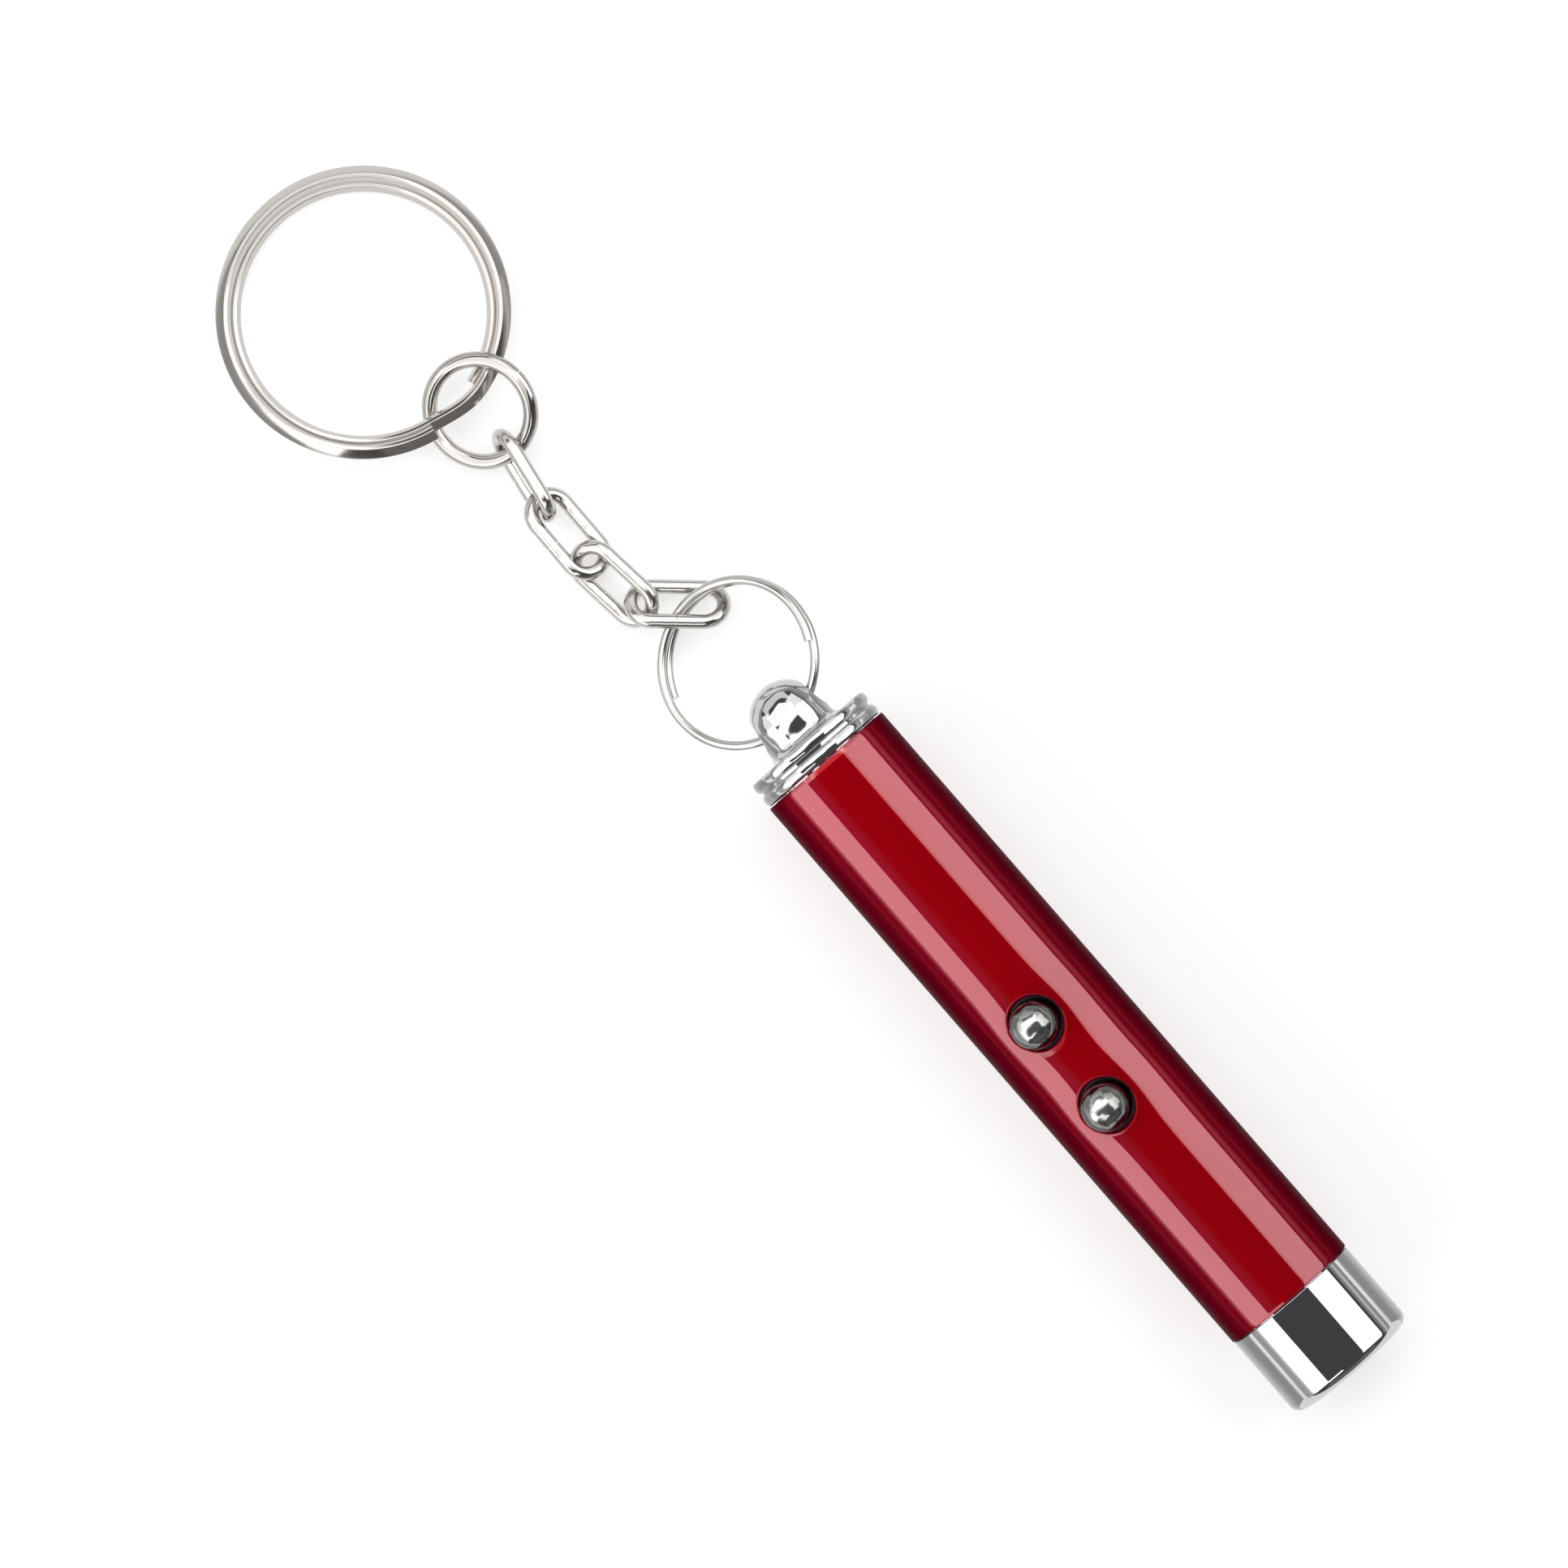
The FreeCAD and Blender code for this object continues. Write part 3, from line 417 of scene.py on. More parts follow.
def on_skin(x, s, radius, hollow):
    """The point above (x, s) of the unrolled barrel."""
    turn = s / radius
    r = radius - (pressed(x, s, radius) if hollow else 0.0)
    return (x, r * math.sin(turn), r * math.cos(turn))


rim = BUTTONS["laser_button"] + BUTTON_HOLE
print(f"at the rim of a button hole the skin lies {pressed(rim, 0.0, BARREL_RADIUS):.2f} mm lower")

# %% [markdown]
# A grid runs round and along the tube, and leaves out one square for each button. Each square is
# filled with rings that change step by step from the round hole to the square, so the
# reflections flow round the button without a crease.

# %% A patch of rings from the round hole to the square
SPOKES = 128
PATCH_RINGS = 22
RING_SPREAD = 1.25


def square_edge(spoke):
    """Unit square's edge, met by one spoke, with equal steps along each side."""
    side, step = divmod(spoke + SPOKES // 8, SPOKES // 4)
    share = 2.0 * step / (SPOKES // 4) - 1.0
    return [(1.0, share), (-share, 1.0), (-1.0, -share), (share, -1.0)][side % 4]


def hole_ring(station, radius, ring_radius, depth, hollow):
    """A ring round the hole, at a depth below the skin."""
    ring = []
    for spoke in range(SPOKES):
        ex, es = square_edge(spoke)
        angle = math.atan2(es, ex)
        x = station + ring_radius * math.cos(angle)
        y = ring_radius * math.sin(angle)
        s = radius * math.asin(y / radius)
        px, py, pz = on_skin(x, s, radius, hollow)
        ring.append((px, py, pz - depth))
    return ring


def patch_rings(station, radius, start_radius, hollow):
    """Rings from the hole's ring out to the square's edge, closer together near the hole."""
    rings = []
    for step in range(PATCH_RINGS + 1):
        share = (step / PATCH_RINGS) ** RING_SPREAD
        ring = []
        for spoke in range(SPOKES):
            ex, es = square_edge(spoke)
            angle = math.atan2(es, ex)
            hx, hy = start_radius * math.cos(angle), start_radius * math.sin(angle)
            hs = radius * math.asin(hy / radius)
            x = station + hx + (PATCH * ex - hx) * share
            s = hs + (PATCH * radius / BARREL_RADIUS * es - hs) * share
            ring.append(on_skin(x, s, radius, hollow))
        rings.append(ring)
    return rings


# %% [markdown]
# The hole's edge is rolled inwards, which shows as a bright line round each button. It is a
# quarter round of rings below the skin, and the wall of the hole follows it. The tube's ends get
# a small rounding in the same way, because a cut and polished edge is never quite sharp.

# %% The rolled lips and the tube's ends
LIP_STEPS = 12
POINTS_AROUND = 141
END_ROUNDING = 0.1
SQUARE_STEPS = [2.0 * k / (SPOKES // 4) - 1.0 for k in range(SPOKES // 4 + 1)]


def lip_rings(station):
    """A quarter round from the skin into the hole, then the hole's wall down to the bore."""
    rings = []
    for step in range(LIP_STEPS + 1):
        turn = math.radians(90.0 * step / LIP_STEPS)
        ring_radius = BUTTON_HOLE + LIP - LIP * math.sin(turn)
        rings.append(hole_ring(station, BARREL_RADIUS, ring_radius, LIP - LIP * math.cos(turn), True))
    return rings + [hole_ring(station, BARREL_BORE, BUTTON_HOLE, 0.0, False)]


def end_rings(x, inward):
    """An end of the tube, from the outer skin over the rounding to the bore."""
    corner = PATCH / BARREL_RADIUS
    turns = [corner * step for step in SQUARE_STEPS]
    turns += list(np.linspace(corner, 2.0 * math.pi - corner, POINTS_AROUND))[1:-1]
    edge = ((BARREL_RADIUS, x + inward), (BARREL_RADIUS - 0.3 * END_ROUNDING, x + 0.3 * inward),
            (BARREL_RADIUS - END_ROUNDING, x), (BARREL_BORE, x), (BARREL_BORE, x + inward))
    return [[(along, r * math.sin(t), r * math.cos(t)) for t in turns] for r, along in edge]


# %% The barrel's skins, ends and hole walls as one mesh
FRONT_COLUMNS, BACK_COLUMNS = 44, 56


def add_grid(points, faces, rows, closed):
    """Adds rows of points and the faces between them. A closed row joins up at its ends."""
    base, width = len(points), len(rows[0])
    for row in rows:
        points.extend(row)
    last = width if closed else width - 1
    for r in range(len(rows) - 1):
        for c in range(last):
            a, b = base + r * width + c, base + r * width + (c + 1) % width
            faces.append((a, b, b + width, a + width))


def make_barrel():
    points, faces = [], []
    laser, light = BUTTONS["laser_button"], BUTTONS["light_button"]
    patch_xs = [light + PATCH * step for step in SQUARE_STEPS]
    patch_xs += [laser + PATCH * step for step in SQUARE_STEPS[1:]]
    front_xs = list(np.linspace(laser + PATCH, BARREL_FRONT - END_ROUNDING, FRONT_COLUMNS))
    back_xs = list(np.linspace(BARREL_BACK + END_ROUNDING, light - PATCH, BACK_COLUMNS))
    for radius, hollow in ((BARREL_RADIUS, True), (BARREL_BORE, False)):
        patch_s = PATCH * radius / BARREL_RADIUS
        top = [patch_s * step for step in SQUARE_STEPS]
        rest = list(np.linspace(patch_s, 2.0 * math.pi * radius - patch_s, POINTS_AROUND))
        for xs, ss in ((back_xs, top), (back_xs, rest), (front_xs, top), (front_xs, rest), (patch_xs, rest)):
            add_grid(points, faces, [[on_skin(x, s, radius, hollow) for x in xs] for s in ss], False)
        for station in BUTTONS.values():
            start = BUTTON_HOLE + (LIP if hollow else 0.0)
            add_grid(points, faces, patch_rings(station, radius, start, hollow), True)
            if hollow:
                add_grid(points, faces, lip_rings(station), True)
    add_grid(points, faces, end_rings(BARREL_FRONT, -END_ROUNDING), True)
    add_grid(points, faces, end_rings(BARREL_BACK, END_ROUNDING), True)
    return store_piece("barrel_tube", points, faces, LEAN, smooth_angle=38.0)


finish_piece(make_barrel(), "pointer", red_lacquer, "red_lacquer", "barrel")

# %% [markdown]
# ## Turned pieces
# The nose, the buttons and the tail cap are turned on a lathe. A profile with rounded corners
# is spun round its axis. Real edges are never sharp, and on chrome it is the bright line along
# each rounded edge that makes the piece look real.


# %% A rounded profile and a lathe
def rounded_profile(corners, steps=6):
    """Corners are (along, radius, rounding). Returns the profile's points."""
    points = []
    count = len(corners)
    for index, (along, out, rounding) in enumerate(corners):
        here = Vector((along, out))
        if rounding == 0.0 or index in (0, count - 1):
            points.append(here)
            continue
        before = Vector(corners[index - 1][:2]) - here
        after = Vector(corners[index + 1][:2]) - here
        before.normalize()
        after.normalize()
        angle = math.acos(max(-1.0, min(1.0, before.dot(after))))
        reach = rounding / math.tan(angle / 2)
        centre = here + (before + after).normalized() * (rounding / math.sin(angle / 2))
        first = here + before * reach - centre
        last = here + after * reach - centre
        sweep = first.angle_signed(last)
        for step in range(steps + 1):
            turn = Matrix.Rotation(-sweep * step / steps, 2)
            points.append(centre + turn @ first)
    return points


def arc_points(centre, radius, first, last, steps):
    """Points of an arc in the profile's plane, angles in degrees from the axis."""
    points = []
    for step in range(steps + 1):
        turn = math.radians(first + (last - first) * step / steps)
        points.append(Vector((centre + radius * math.cos(turn), radius * math.sin(turn))))
    return points


def lathe(profile, segments, closed=False):
    """Spins (along, radius) points round the X axis."""
    points, faces, rows = [], [], []
    for along, out in profile:
        if abs(out) < 1e-6:
            rows.append([len(points)])
            points.append((along, 0.0, 0.0))
            continue
        row = []
        for k in range(segments):
            turn = 2.0 * math.pi * k / segments
            row.append(len(points))
            points.append((along, out * math.sin(turn), out * math.cos(turn)))
        rows.append(row)
    pairs = list(zip(rows[:-1], rows[1:]))
    if closed:
        pairs.append((rows[-1], rows[0]))
    for low, high in pairs:
        for k in range(segments):
            following = (k + 1) % segments
            if len(low) == 1 and len(high) == 1:
                continue
            if len(low) == 1:
                faces.append((low[0], high[following], high[k]))
            elif len(high) == 1:
                faces.append((low[k], low[following], high[0]))
            else:
                faces.append((low[k], low[following], high[following], high[k]))
    return points, faces


# %% [markdown]
# The nose has two windows in its flat face: a small one for the laser and a wide one for the
# light. A flat face shows no creases, so here a boolean is the simple way. Each cutter is turned
# on the same lathe, and flares out at the front, so the cut leaves a rounded edge by itself.

# %% Helpers that cut holes with closed cutters
def evaluated(piece):
    """A copy of the piece's mesh with its modifiers carried out."""
    graph = bpy.context.evaluated_depsgraph_get()
    return bpy.data.meshes.new_from_object(piece.evaluated_get(graph))


def cut_with(piece, cutters):
    """Cuts each cutter out of the piece and removes it."""
    for cutter in cutters:
        step = piece.modifiers.new("cut", "BOOLEAN")
        step.operation = "DIFFERENCE"
        step.solver = "EXACT"
        step.object = cutter
    mesh = evaluated(piece)
    piece.modifiers.clear()
    piece.data = mesh
    for cutter in cutters:
        bpy.data.objects.remove(cutter)
    work = bmesh.new()
    work.from_mesh(mesh)
    mark_sharp(work)
    work.to_mesh(mesh)
    work.free()
    return piece


# %% The nose, with a window for the laser above one for the light
LAMP_OFFSET = 2.95
WINDOWS = {"laser": (LAMP_OFFSET, 1.6), "light": (-LAMP_OFFSET, 2.6)}
WINDOW_EDGE = 0.2
NOSE_RADIUS, NOSE_BACK, NOSE_CORNER = 6.93, -9.05, 1.1
SPIGOT_RADIUS, SPIGOT_BACK = 6.1, -11.25
NOSE_BORE, FACE_WALL = 5.6, 1.5


def window_tool(name, height, radius):
    """A cutter along the beam that leaves a rounded edge in the nose's face."""
    profile = [Vector((0.4, 0.0)), Vector((0.4, radius + 0.5))]
    for angle in range(90, -1, -15):
        turn = math.radians(angle)
        profile.append(Vector((WINDOW_EDGE * math.sin(turn) - WINDOW_EDGE,
                               radius + WINDOW_EDGE - WINDOW_EDGE * math.cos(turn))))
    profile += [Vector((-2.2, radius)), Vector((-2.2, 0.0))]
    points, faces = lathe(profile, 96)
    return store_piece(f"{name}_window_tool", [(x, y, z + height) for x, y, z in points], faces, LEAN)


def make_nose():
    corners = [(0.0, 0.0, 0.0), (0.0, NOSE_RADIUS, NOSE_CORNER), (NOSE_BACK, NOSE_RADIUS, 0.08),
               (NOSE_BACK, SPIGOT_RADIUS, 0.0), (SPIGOT_BACK, SPIGOT_RADIUS, 0.1),
               (SPIGOT_BACK, NOSE_BORE, 0.0), (-FACE_WALL, NOSE_BORE, 0.2), (-FACE_WALL, 0.0, 0.0)]
    points, faces = lathe(rounded_profile(corners, 14), 192)
    nose = store_piece("nose_cap", points, faces, LEAN)
    return cut_with(nose, [window_tool(name, *window) for name, window in WINDOWS.items()])


finish_piece(make_nose(), "pointer", metals["bright_chrome"], "bright_chrome", "nose_shell")

# %% [markdown]
# ## Buttons
# Each button is a chromed dome on a short stem. A flange under the barrel's wall keeps it in. A
# stretched sphere would do for the dome alone, but one lathed profile gives the dome, the flange
# and the stem together, as the real turned piece has them.

# %% The two buttons
STEM, STEM_FOOT = 1.1, 3.65
FLANGE, FLANGE_FOOT, FLANGE_TOP = 2.9, 3.8, 4.4
UPRIGHT = Matrix.Rotation(math.radians(-90.0), 4, "Y")


def make_button(name, station):
    corners = [(STEM_FOOT, 0.0, 0.0), (STEM_FOOT, STEM, 0.1), (FLANGE_FOOT, STEM, 0.0),
               (FLANGE_FOOT, FLANGE, 0.1), (FLANGE_TOP, FLANGE, 0.1), (FLANGE_TOP, DOME, 0.0)]
    profile = rounded_profile(corners, 4) + arc_points(DOME_CENTRE, DOME, 90.0, 0.0, 40)
    points, faces = lathe(profile, 128)
    place = LEAN @ Matrix.Translation((station, 0.0, 0.0)) @ UPRIGHT
    return store_piece(name + "_dome", points, faces, place)


for button, station in BUTTONS.items():
    finish_piece(make_button(button, station), button, metals["button_chrome"], "button_chrome", button)

# %% [markdown]
# ## Tail cap
# The cap has a plug inside the barrel, two polished rims with a groove between them, and a
# ball-ended eye. The rims are turned. The eye is harder, because a round hole through a ball
# has a curved edge. It starts as a rough block, and each of its points is then moved onto a
# formula for the finished shape, in which the hole's edge and the root are rounded.

# %% The cap's turned part
PLUG_FRONT, PLUG_RADIUS = -71.55, 6.12
PLUG_BORE, PLUG_FLOOR = 4.6, -74.57
RIM_FRONT, RIM_EDGE, RIM_CROWN = -75.87, 6.62, 0.30
GROOVE_FRONT, GROOVE_BACK, GROOVE_RADIUS, GROOVE_SLOPE = -77.05, -77.32, 6.58, 0.03
CAP_BACK = -78.50
EYE_SEAT = 4.0


def crowned(front, back, edge, crown, steps=20):
    """A rim that bulges between its two edges, as part of an oval."""
    points = []
    for step in range(steps + 1):
        turn = math.pi * step / steps
        along = (front + back) / 2 - (back - front) / 2 * math.cos(turn)
        points.append(Vector((along, edge + crown * math.sin(turn))))
    return points


def make_cap_rims():
    profile = rounded_profile([(PLUG_FRONT, PLUG_BORE, 0.0), (PLUG_FRONT, PLUG_RADIUS, 0.15),
                               (RIM_FRONT, PLUG_RADIUS, 0.0)], 8)
    profile += crowned(RIM_FRONT, GROOVE_FRONT + GROOVE_SLOPE, RIM_EDGE, RIM_CROWN)
    profile += [Vector((GROOVE_FRONT, GROOVE_RADIUS)), Vector((GROOVE_BACK, GROOVE_RADIUS))]
    profile += crowned(GROOVE_BACK - GROOVE_SLOPE, CAP_BACK, RIM_EDGE, RIM_CROWN)
    profile += [Vector((CAP_BACK, EYE_SEAT)), Vector((CAP_BACK, 0.0)), Vector((PLUG_FLOOR, 0.0)),
                Vector((PLUG_FLOOR, PLUG_BORE))]
    return lathe(profile, 192, closed=True)


# %% [markdown]
# The eye's shape is a distance: how far a point lies outside the finished surface. A ball and a
# cylinder make the body, the hole is taken away, and where two surfaces meet, the two distances
# are joined as the sides of a right angle, which rounds the edge. A bevel along the edge of a
# boolean often fails on such a curve. A formula gives the same smooth edge everywhere.

# %% The eye's formula
EYE_X = -81.5
EYE_HOLE = 1.45
BALL_X = -81.1
BALL = 3.7
ROOT_ROUNDING = 0.8
LIP_ROUNDING = 0.3


def eye_distance(p):
    """Signed distance to the finished eye, for an array of points."""
    x, y, z = p[:, 0], p[:, 1], p[:, 2]
    across = np.hypot(y, z)
    ball = np.sqrt((x - BALL_X) ** 2 + across**2) - BALL
    body = np.where(x > BALL_X, across - BALL, ball)
    flat = x - CAP_BACK
    u = np.maximum(ROOT_ROUNDING - body, 0.0)
    v = np.maximum(ROOT_ROUNDING + flat, 0.0)
    nearest = np.minimum(body, -flat)
    near_root = np.maximum(ROOT_ROUNDING, nearest) - np.hypot(u, v)
    joined = np.where((u > 0) & (v > 0), near_root, nearest)
    hole = EYE_HOLE - np.hypot(x - EYE_X, z)
    a = np.maximum(joined + LIP_ROUNDING, 0.0)
    b = np.maximum(hole + LIP_ROUNDING, 0.0)
    return np.minimum(np.maximum(joined, hole), -LIP_ROUNDING) + np.hypot(a, b)


ball_end = np.array([[BALL_X - BALL, 0.0, 1.8], [BALL_X - BALL, 0.0, 0.0]])
print("distances of two points beside the ball, in mm:", np.round(eye_distance(ball_end), 2))


def move_onto(points, distance, rounds=12):
    """Moves each point down the slope of the distance until it lies on the surface."""
    step, least_slope = 0.002, 0.25
    for _ in range(rounds):
        value = distance(points)
        slope = np.stack([(distance(points + step * axis) - distance(points - step * axis)) / (2 * step)
                          for axis in np.eye(3)], axis=1)
        size = np.maximum((slope**2).sum(axis=1), least_slope)
        points = points - slope * (value / size)[:, None]
    return points


# %% [markdown]
# The points for the formula come from a rough block: a little too large, with the hole cut
# through, and remeshed into even voxels. Each point then moves onto the finished surface. The
# points of the block's hidden foot stay where they are, inside the cap.

# %% The eye's rough block, remeshed finely and moved onto the formula
PROUD = 0.02
FOOT_RADIUS, FOOT_DEPTH = 4.35, 0.25
VOXEL = 0.085
MOVED_DEPTH = 0.12


def rough_eye():
    """A turned block, a little larger than the eye, with the hole cut through it."""
    foot, neck = CAP_BACK + FOOT_DEPTH, BALL + PROUD
    profile = [Vector((foot, 0.0)), Vector((foot, FOOT_RADIUS)), Vector((CAP_BACK - PROUD, FOOT_RADIUS)),
               Vector((CAP_BACK - 0.5, neck)), Vector((BALL_X, neck))]
    profile += arc_points(BALL_X, neck, 90.0, 180.0, 24)
    rough = store_piece("eye_rough", *lathe(profile, 96))
    rod = [Vector((-6, 0)), Vector((-6, EYE_HOLE)), Vector((6, EYE_HOLE)), Vector((6, 0))]
    points, faces = lathe(rod, 64)
    return cut_with(rough, [store_piece("eye_tool", [(y + EYE_X, x, z) for x, y, z in points], faces)])


def make_eye():
    rough = rough_eye()
    remesh = rough.modifiers.new("even", "REMESH")
    remesh.mode = "VOXEL"
    remesh.voxel_size = VOXEL * MM
    mesh = evaluated(rough)
    bpy.data.objects.remove(rough)
    found = np.empty(len(mesh.vertices) * 3)
    mesh.vertices.foreach_get("co", found)
    found = found.reshape(-1, 3) / MM
    moving = found[:, 0] < CAP_BACK + MOVED_DEPTH
    found[moving] = move_onto(found[moving], eye_distance)
    print(f"the eye: {int(moving.sum())} of {len(found)} points moved onto the formula")
    return [tuple(p) for p in found], [tuple(face.vertices) for face in mesh.polygons]


def join(first, second):
    """Two sets of (points, faces) as one."""
    base = len(first[0])
    return first[0] + second[0], first[1] + [tuple(base + v for v in face) for face in second[1]]


def make_tail_cap():
    return store_piece("tail_cap_and_eye", *join(make_cap_rims(), make_eye()), merge=0.0002)


finish_piece(make_tail_cap(), "tail_cap", metals["cast_chrome"], "bright_chrome", "tail_cap")

# %% [markdown]
# ## Bent wire
# Links and rings all follow a path, which is what Geometry Nodes do best: one tree bends a
# line by a formula and sweeps a section along it. The oval links share one tree. The wound
# rings share another, which places each point of the wire by its angle from the first tip.


# %% Small helpers for building a node tree
def new_tree(name, sockets):
    tree = bpy.data.node_groups.new(name, "GeometryNodeTree")
    tree.interface.new_socket("Geometry", in_out="OUTPUT", socket_type="NodeSocketGeometry")
    for label, kind, value in sockets:
        socket = tree.interface.new_socket(label, in_out="INPUT", socket_type=kind)
        if value is not None:
            socket.default_value = value
    return tree


def math_node(tree, operation, first, second=None, third=None):
    """A Math node fed by sockets or numbers. Returns its output."""
    node = tree.nodes.new("ShaderNodeMath")
    node.operation = operation
    for index, value in enumerate((first, second, third)):
        if value is None:
            continue
        if isinstance(value, (int, float)):
            node.inputs[index].default_value = value
        else:
            tree.links.new(value, node.inputs[index])
    return node.outputs[0]


def bent_line(tree, count, x, y, z=None):
    """A curve of count steps whose points lie where the sockets x, y and z say."""
    nodes, links = tree.nodes, tree.links
    line = set_inputs(nodes.new("GeometryNodeMeshLine"), {"Count": count + 1})
    where = nodes.new("ShaderNodeCombineXYZ")
    for axis, value in zip("XYZ", (x, y, z)):
        if value is not None:
            links.new(value, where.inputs[axis])
    put = nodes.new("GeometryNodeSetPosition")
    links.new(line.outputs["Mesh"], put.inputs["Geometry"])
    links.new(where.outputs["Vector"], put.inputs["Position"])
    to_curve = nodes.new("GeometryNodeMeshToCurve")
    links.new(put.outputs["Geometry"], to_curve.inputs["Mesh"])
    return to_curve.outputs["Curve"]


def sweep_and_paint(tree, path, section, inside, outside):
    """Sweeps the section along the path, closes its ends, realises instances and sets the finish."""
    nodes, links = tree.nodes, tree.links
    sweep = set_inputs(nodes.new("GeometryNodeCurveToMesh"), {"Fill Caps": True})
    links.new(path, sweep.inputs["Curve"])
    links.new(section, sweep.inputs["Profile Curve"])
    realise = nodes.new("GeometryNodeRealizeInstances")
    paint = nodes.new("GeometryNodeSetMaterial")
    links.new(sweep.outputs["Mesh"], realise.inputs["Geometry"])
    links.new(realise.outputs["Geometry"], paint.inputs["Geometry"])
    links.new(inside.outputs["Finish"], paint.inputs["Material"])
    links.new(paint.outputs["Geometry"], outside.inputs["Geometry"])


# %% [markdown]
# A tree needs an object to run on. An empty mesh carries it as a modifier, the result is copied
# out as a plain mesh, and the holder is removed. A plain mesh can then be moved to its place
# while its object stays at the origin, as every other piece does.

# %% A helper that runs a tree and keeps its result
NEAR_POINTS = 0.2e-6


def run_tree(name, tree, values, place):
    """Runs a tree on an empty mesh and keeps the result as a plain mesh, moved to its place."""
    holder = bpy.data.objects.new(name, bpy.data.meshes.new(name))
    bpy.context.scene.collection.objects.link(holder)
    modifier = holder.modifiers.new("form", "NODES")
    modifier.node_group = tree
    for item in tree.interface.items_tree:
        if item.item_type == "SOCKET" and item.in_out == "INPUT" and item.name in values:
            modifier[item.identifier] = values[item.name]
    mesh = evaluated(holder)
    bpy.data.objects.remove(holder)
    return settle_piece(name, mesh, place, NEAR_POINTS, smooth_angle=40.0)


# %% [markdown]
# Each loop lies where the photograph shows it, tilted so that it rests on the floor or on its
# neighbour and passes through it without touching. A physics run could drop the chain, but it
# would fall differently each time. So every loop has its own measured place: its middle in
# millimetres, and three angles for its heading, its pitch and its roll.

# %% Where each piece of the chain lies
LIES = {
    "small_split_ring": (-88.15, -0.17, -2.24, -3.1, -19.4, 18.2),
    "chain_link_4": (-96.15, -0.85, -4.80, 48.0, 0.5, -32.5),
    "chain_link_3": (-101.55, -4.10, -5.15, 6.0, 1.0, 31.5),
    "chain_link_2": (-108.00, -4.30, -4.95, -0.5, 1.5, -22.5),
    "chain_link_1": (-114.85, -3.80, -4.35, -9.5, 0.5, 75.0),
    "jump_ring": (-122.20, -2.90, -3.90, 3.5, 1.0, 22.5),
    "key_ring": (-136.50, -5.15, -4.55, 16.0, -3.0, -4.0),
}


def lying(name):
    """The place of a piece of the chain: its middle, then heading, pitch and roll."""
    x, y, z, heading, pitch, roll = LIES[name]
    turn = Matrix.Rotation(math.radians(heading), 4, "Z") @ Matrix.Rotation(math.radians(pitch), 4, "Y")
    turn = turn @ Matrix.Rotation(math.radians(roll), 4, "X")
    return Matrix.Translation(Vector((x, y, z)) * MM) @ turn


reach = (lying("small_split_ring").translation - lying("key_ring").translation).length
print(f"the rings' middles lie {reach / MM:.1f} mm apart, with the chain between them")

# %% [markdown]
# The path of an oval link starts at its butt joint, in the middle of one long side, and runs
# all the way round: half a straight, a bend, a straight, a bend and half a straight. The tree
# clamps the distance along the wire five times, once for each of these stretches. A ring with
# no straights is the same path, so the jump ring uses this tree too.

# %% The path of an oval loop
LOOP_STEPS = 240


def clamped(tree, value, start, length):
    """How far a distance has gone into the stretch that begins at start."""
    inside = math_node(tree, "SUBTRACT", value, start)
    return math_node(tree, "MINIMUM", math_node(tree, "MAXIMUM", inside, 0.0), length)


def total(tree, first, *others):
    for other in others:
        first = math_node(tree, "ADD", first, other)
    return first


def loop_point(tree, inside):
    """Where each point of the wire lies, as an x and a y socket."""
    straight, bend_radius = inside.outputs["Straight"], inside.outputs["Bend Radius"]
    bend = math_node(tree, "MULTIPLY", bend_radius, math.pi)
    half = math_node(tree, "MULTIPLY", straight, 0.5)
    round_trip = total(tree, straight, straight, bend, bend)
    index = tree.nodes.new("GeometryNodeInputIndex").outputs[0]
    share = math_node(tree, "DIVIDE", index, float(LOOP_STEPS))
    wire = math_node(tree, "SUBTRACT", round_trip, inside.outputs["Seam"])
    distance = math_node(tree, "ADD", math_node(tree, "MULTIPLY", share, wire),
                         math_node(tree, "MULTIPLY", inside.outputs["Seam"], 0.5))
    first_straight = clamped(tree, distance, 0.0, half)
    first_bend = clamped(tree, distance, half, bend)
    far_straight = clamped(tree, distance, total(tree, half, bend), straight)
    second_bend = clamped(tree, distance, total(tree, half, bend, straight), bend)
    last_straight = clamped(tree, distance, total(tree, half, bend, straight, bend), half)
    turned = math_node(tree, "DIVIDE", total(tree, first_bend, second_bend), bend_radius)
    angle = math_node(tree, "SUBTRACT", turned, math.pi / 2.0)
    forward = math_node(tree, "SUBTRACT", total(tree, first_straight, last_straight), far_straight)
    x = total(tree, math_node(tree, "MULTIPLY", math_node(tree, "COSINE", angle), bend_radius), forward)
    return x, math_node(tree, "MULTIPLY", math_node(tree, "SINE", angle), bend_radius)


# %% [markdown]
# The tree bends a straight line of points onto that path, makes a curve of it and sweeps a circle
# along it. A curve could be drawn by hand with a bevel, but then each size is a matter of dragging
# points, and here each is a number.

# %% Node tree: oval link or plain jump ring
WIRE_SIDES = 40


def make_loop_tree():
    tree = new_tree("closed_wire_loop", [
        ("Straight", "NodeSocketFloat", 0.0049), ("Bend Radius", "NodeSocketFloat", 0.00195),
        ("Wire Radius", "NodeSocketFloat", 0.0007), ("Seam", "NodeSocketFloat", 0.00006),
        ("Finish", "NodeSocketMaterial", None)])
    inside, outside = tree.nodes.new("NodeGroupInput"), tree.nodes.new("NodeGroupOutput")
    section = tree.nodes.new("GeometryNodeCurvePrimitiveCircle")
    set_inputs(section, {"Resolution": WIRE_SIDES})
    tree.links.new(inside.outputs["Wire Radius"], section.inputs["Radius"])
    path = bent_line(tree, LOOP_STEPS, *loop_point(tree, inside))
    sweep_and_paint(tree, path, section.outputs["Curve"], inside, outside)
    return tree


loop_tree = make_loop_tree()
print("node tree:", loop_tree.name)

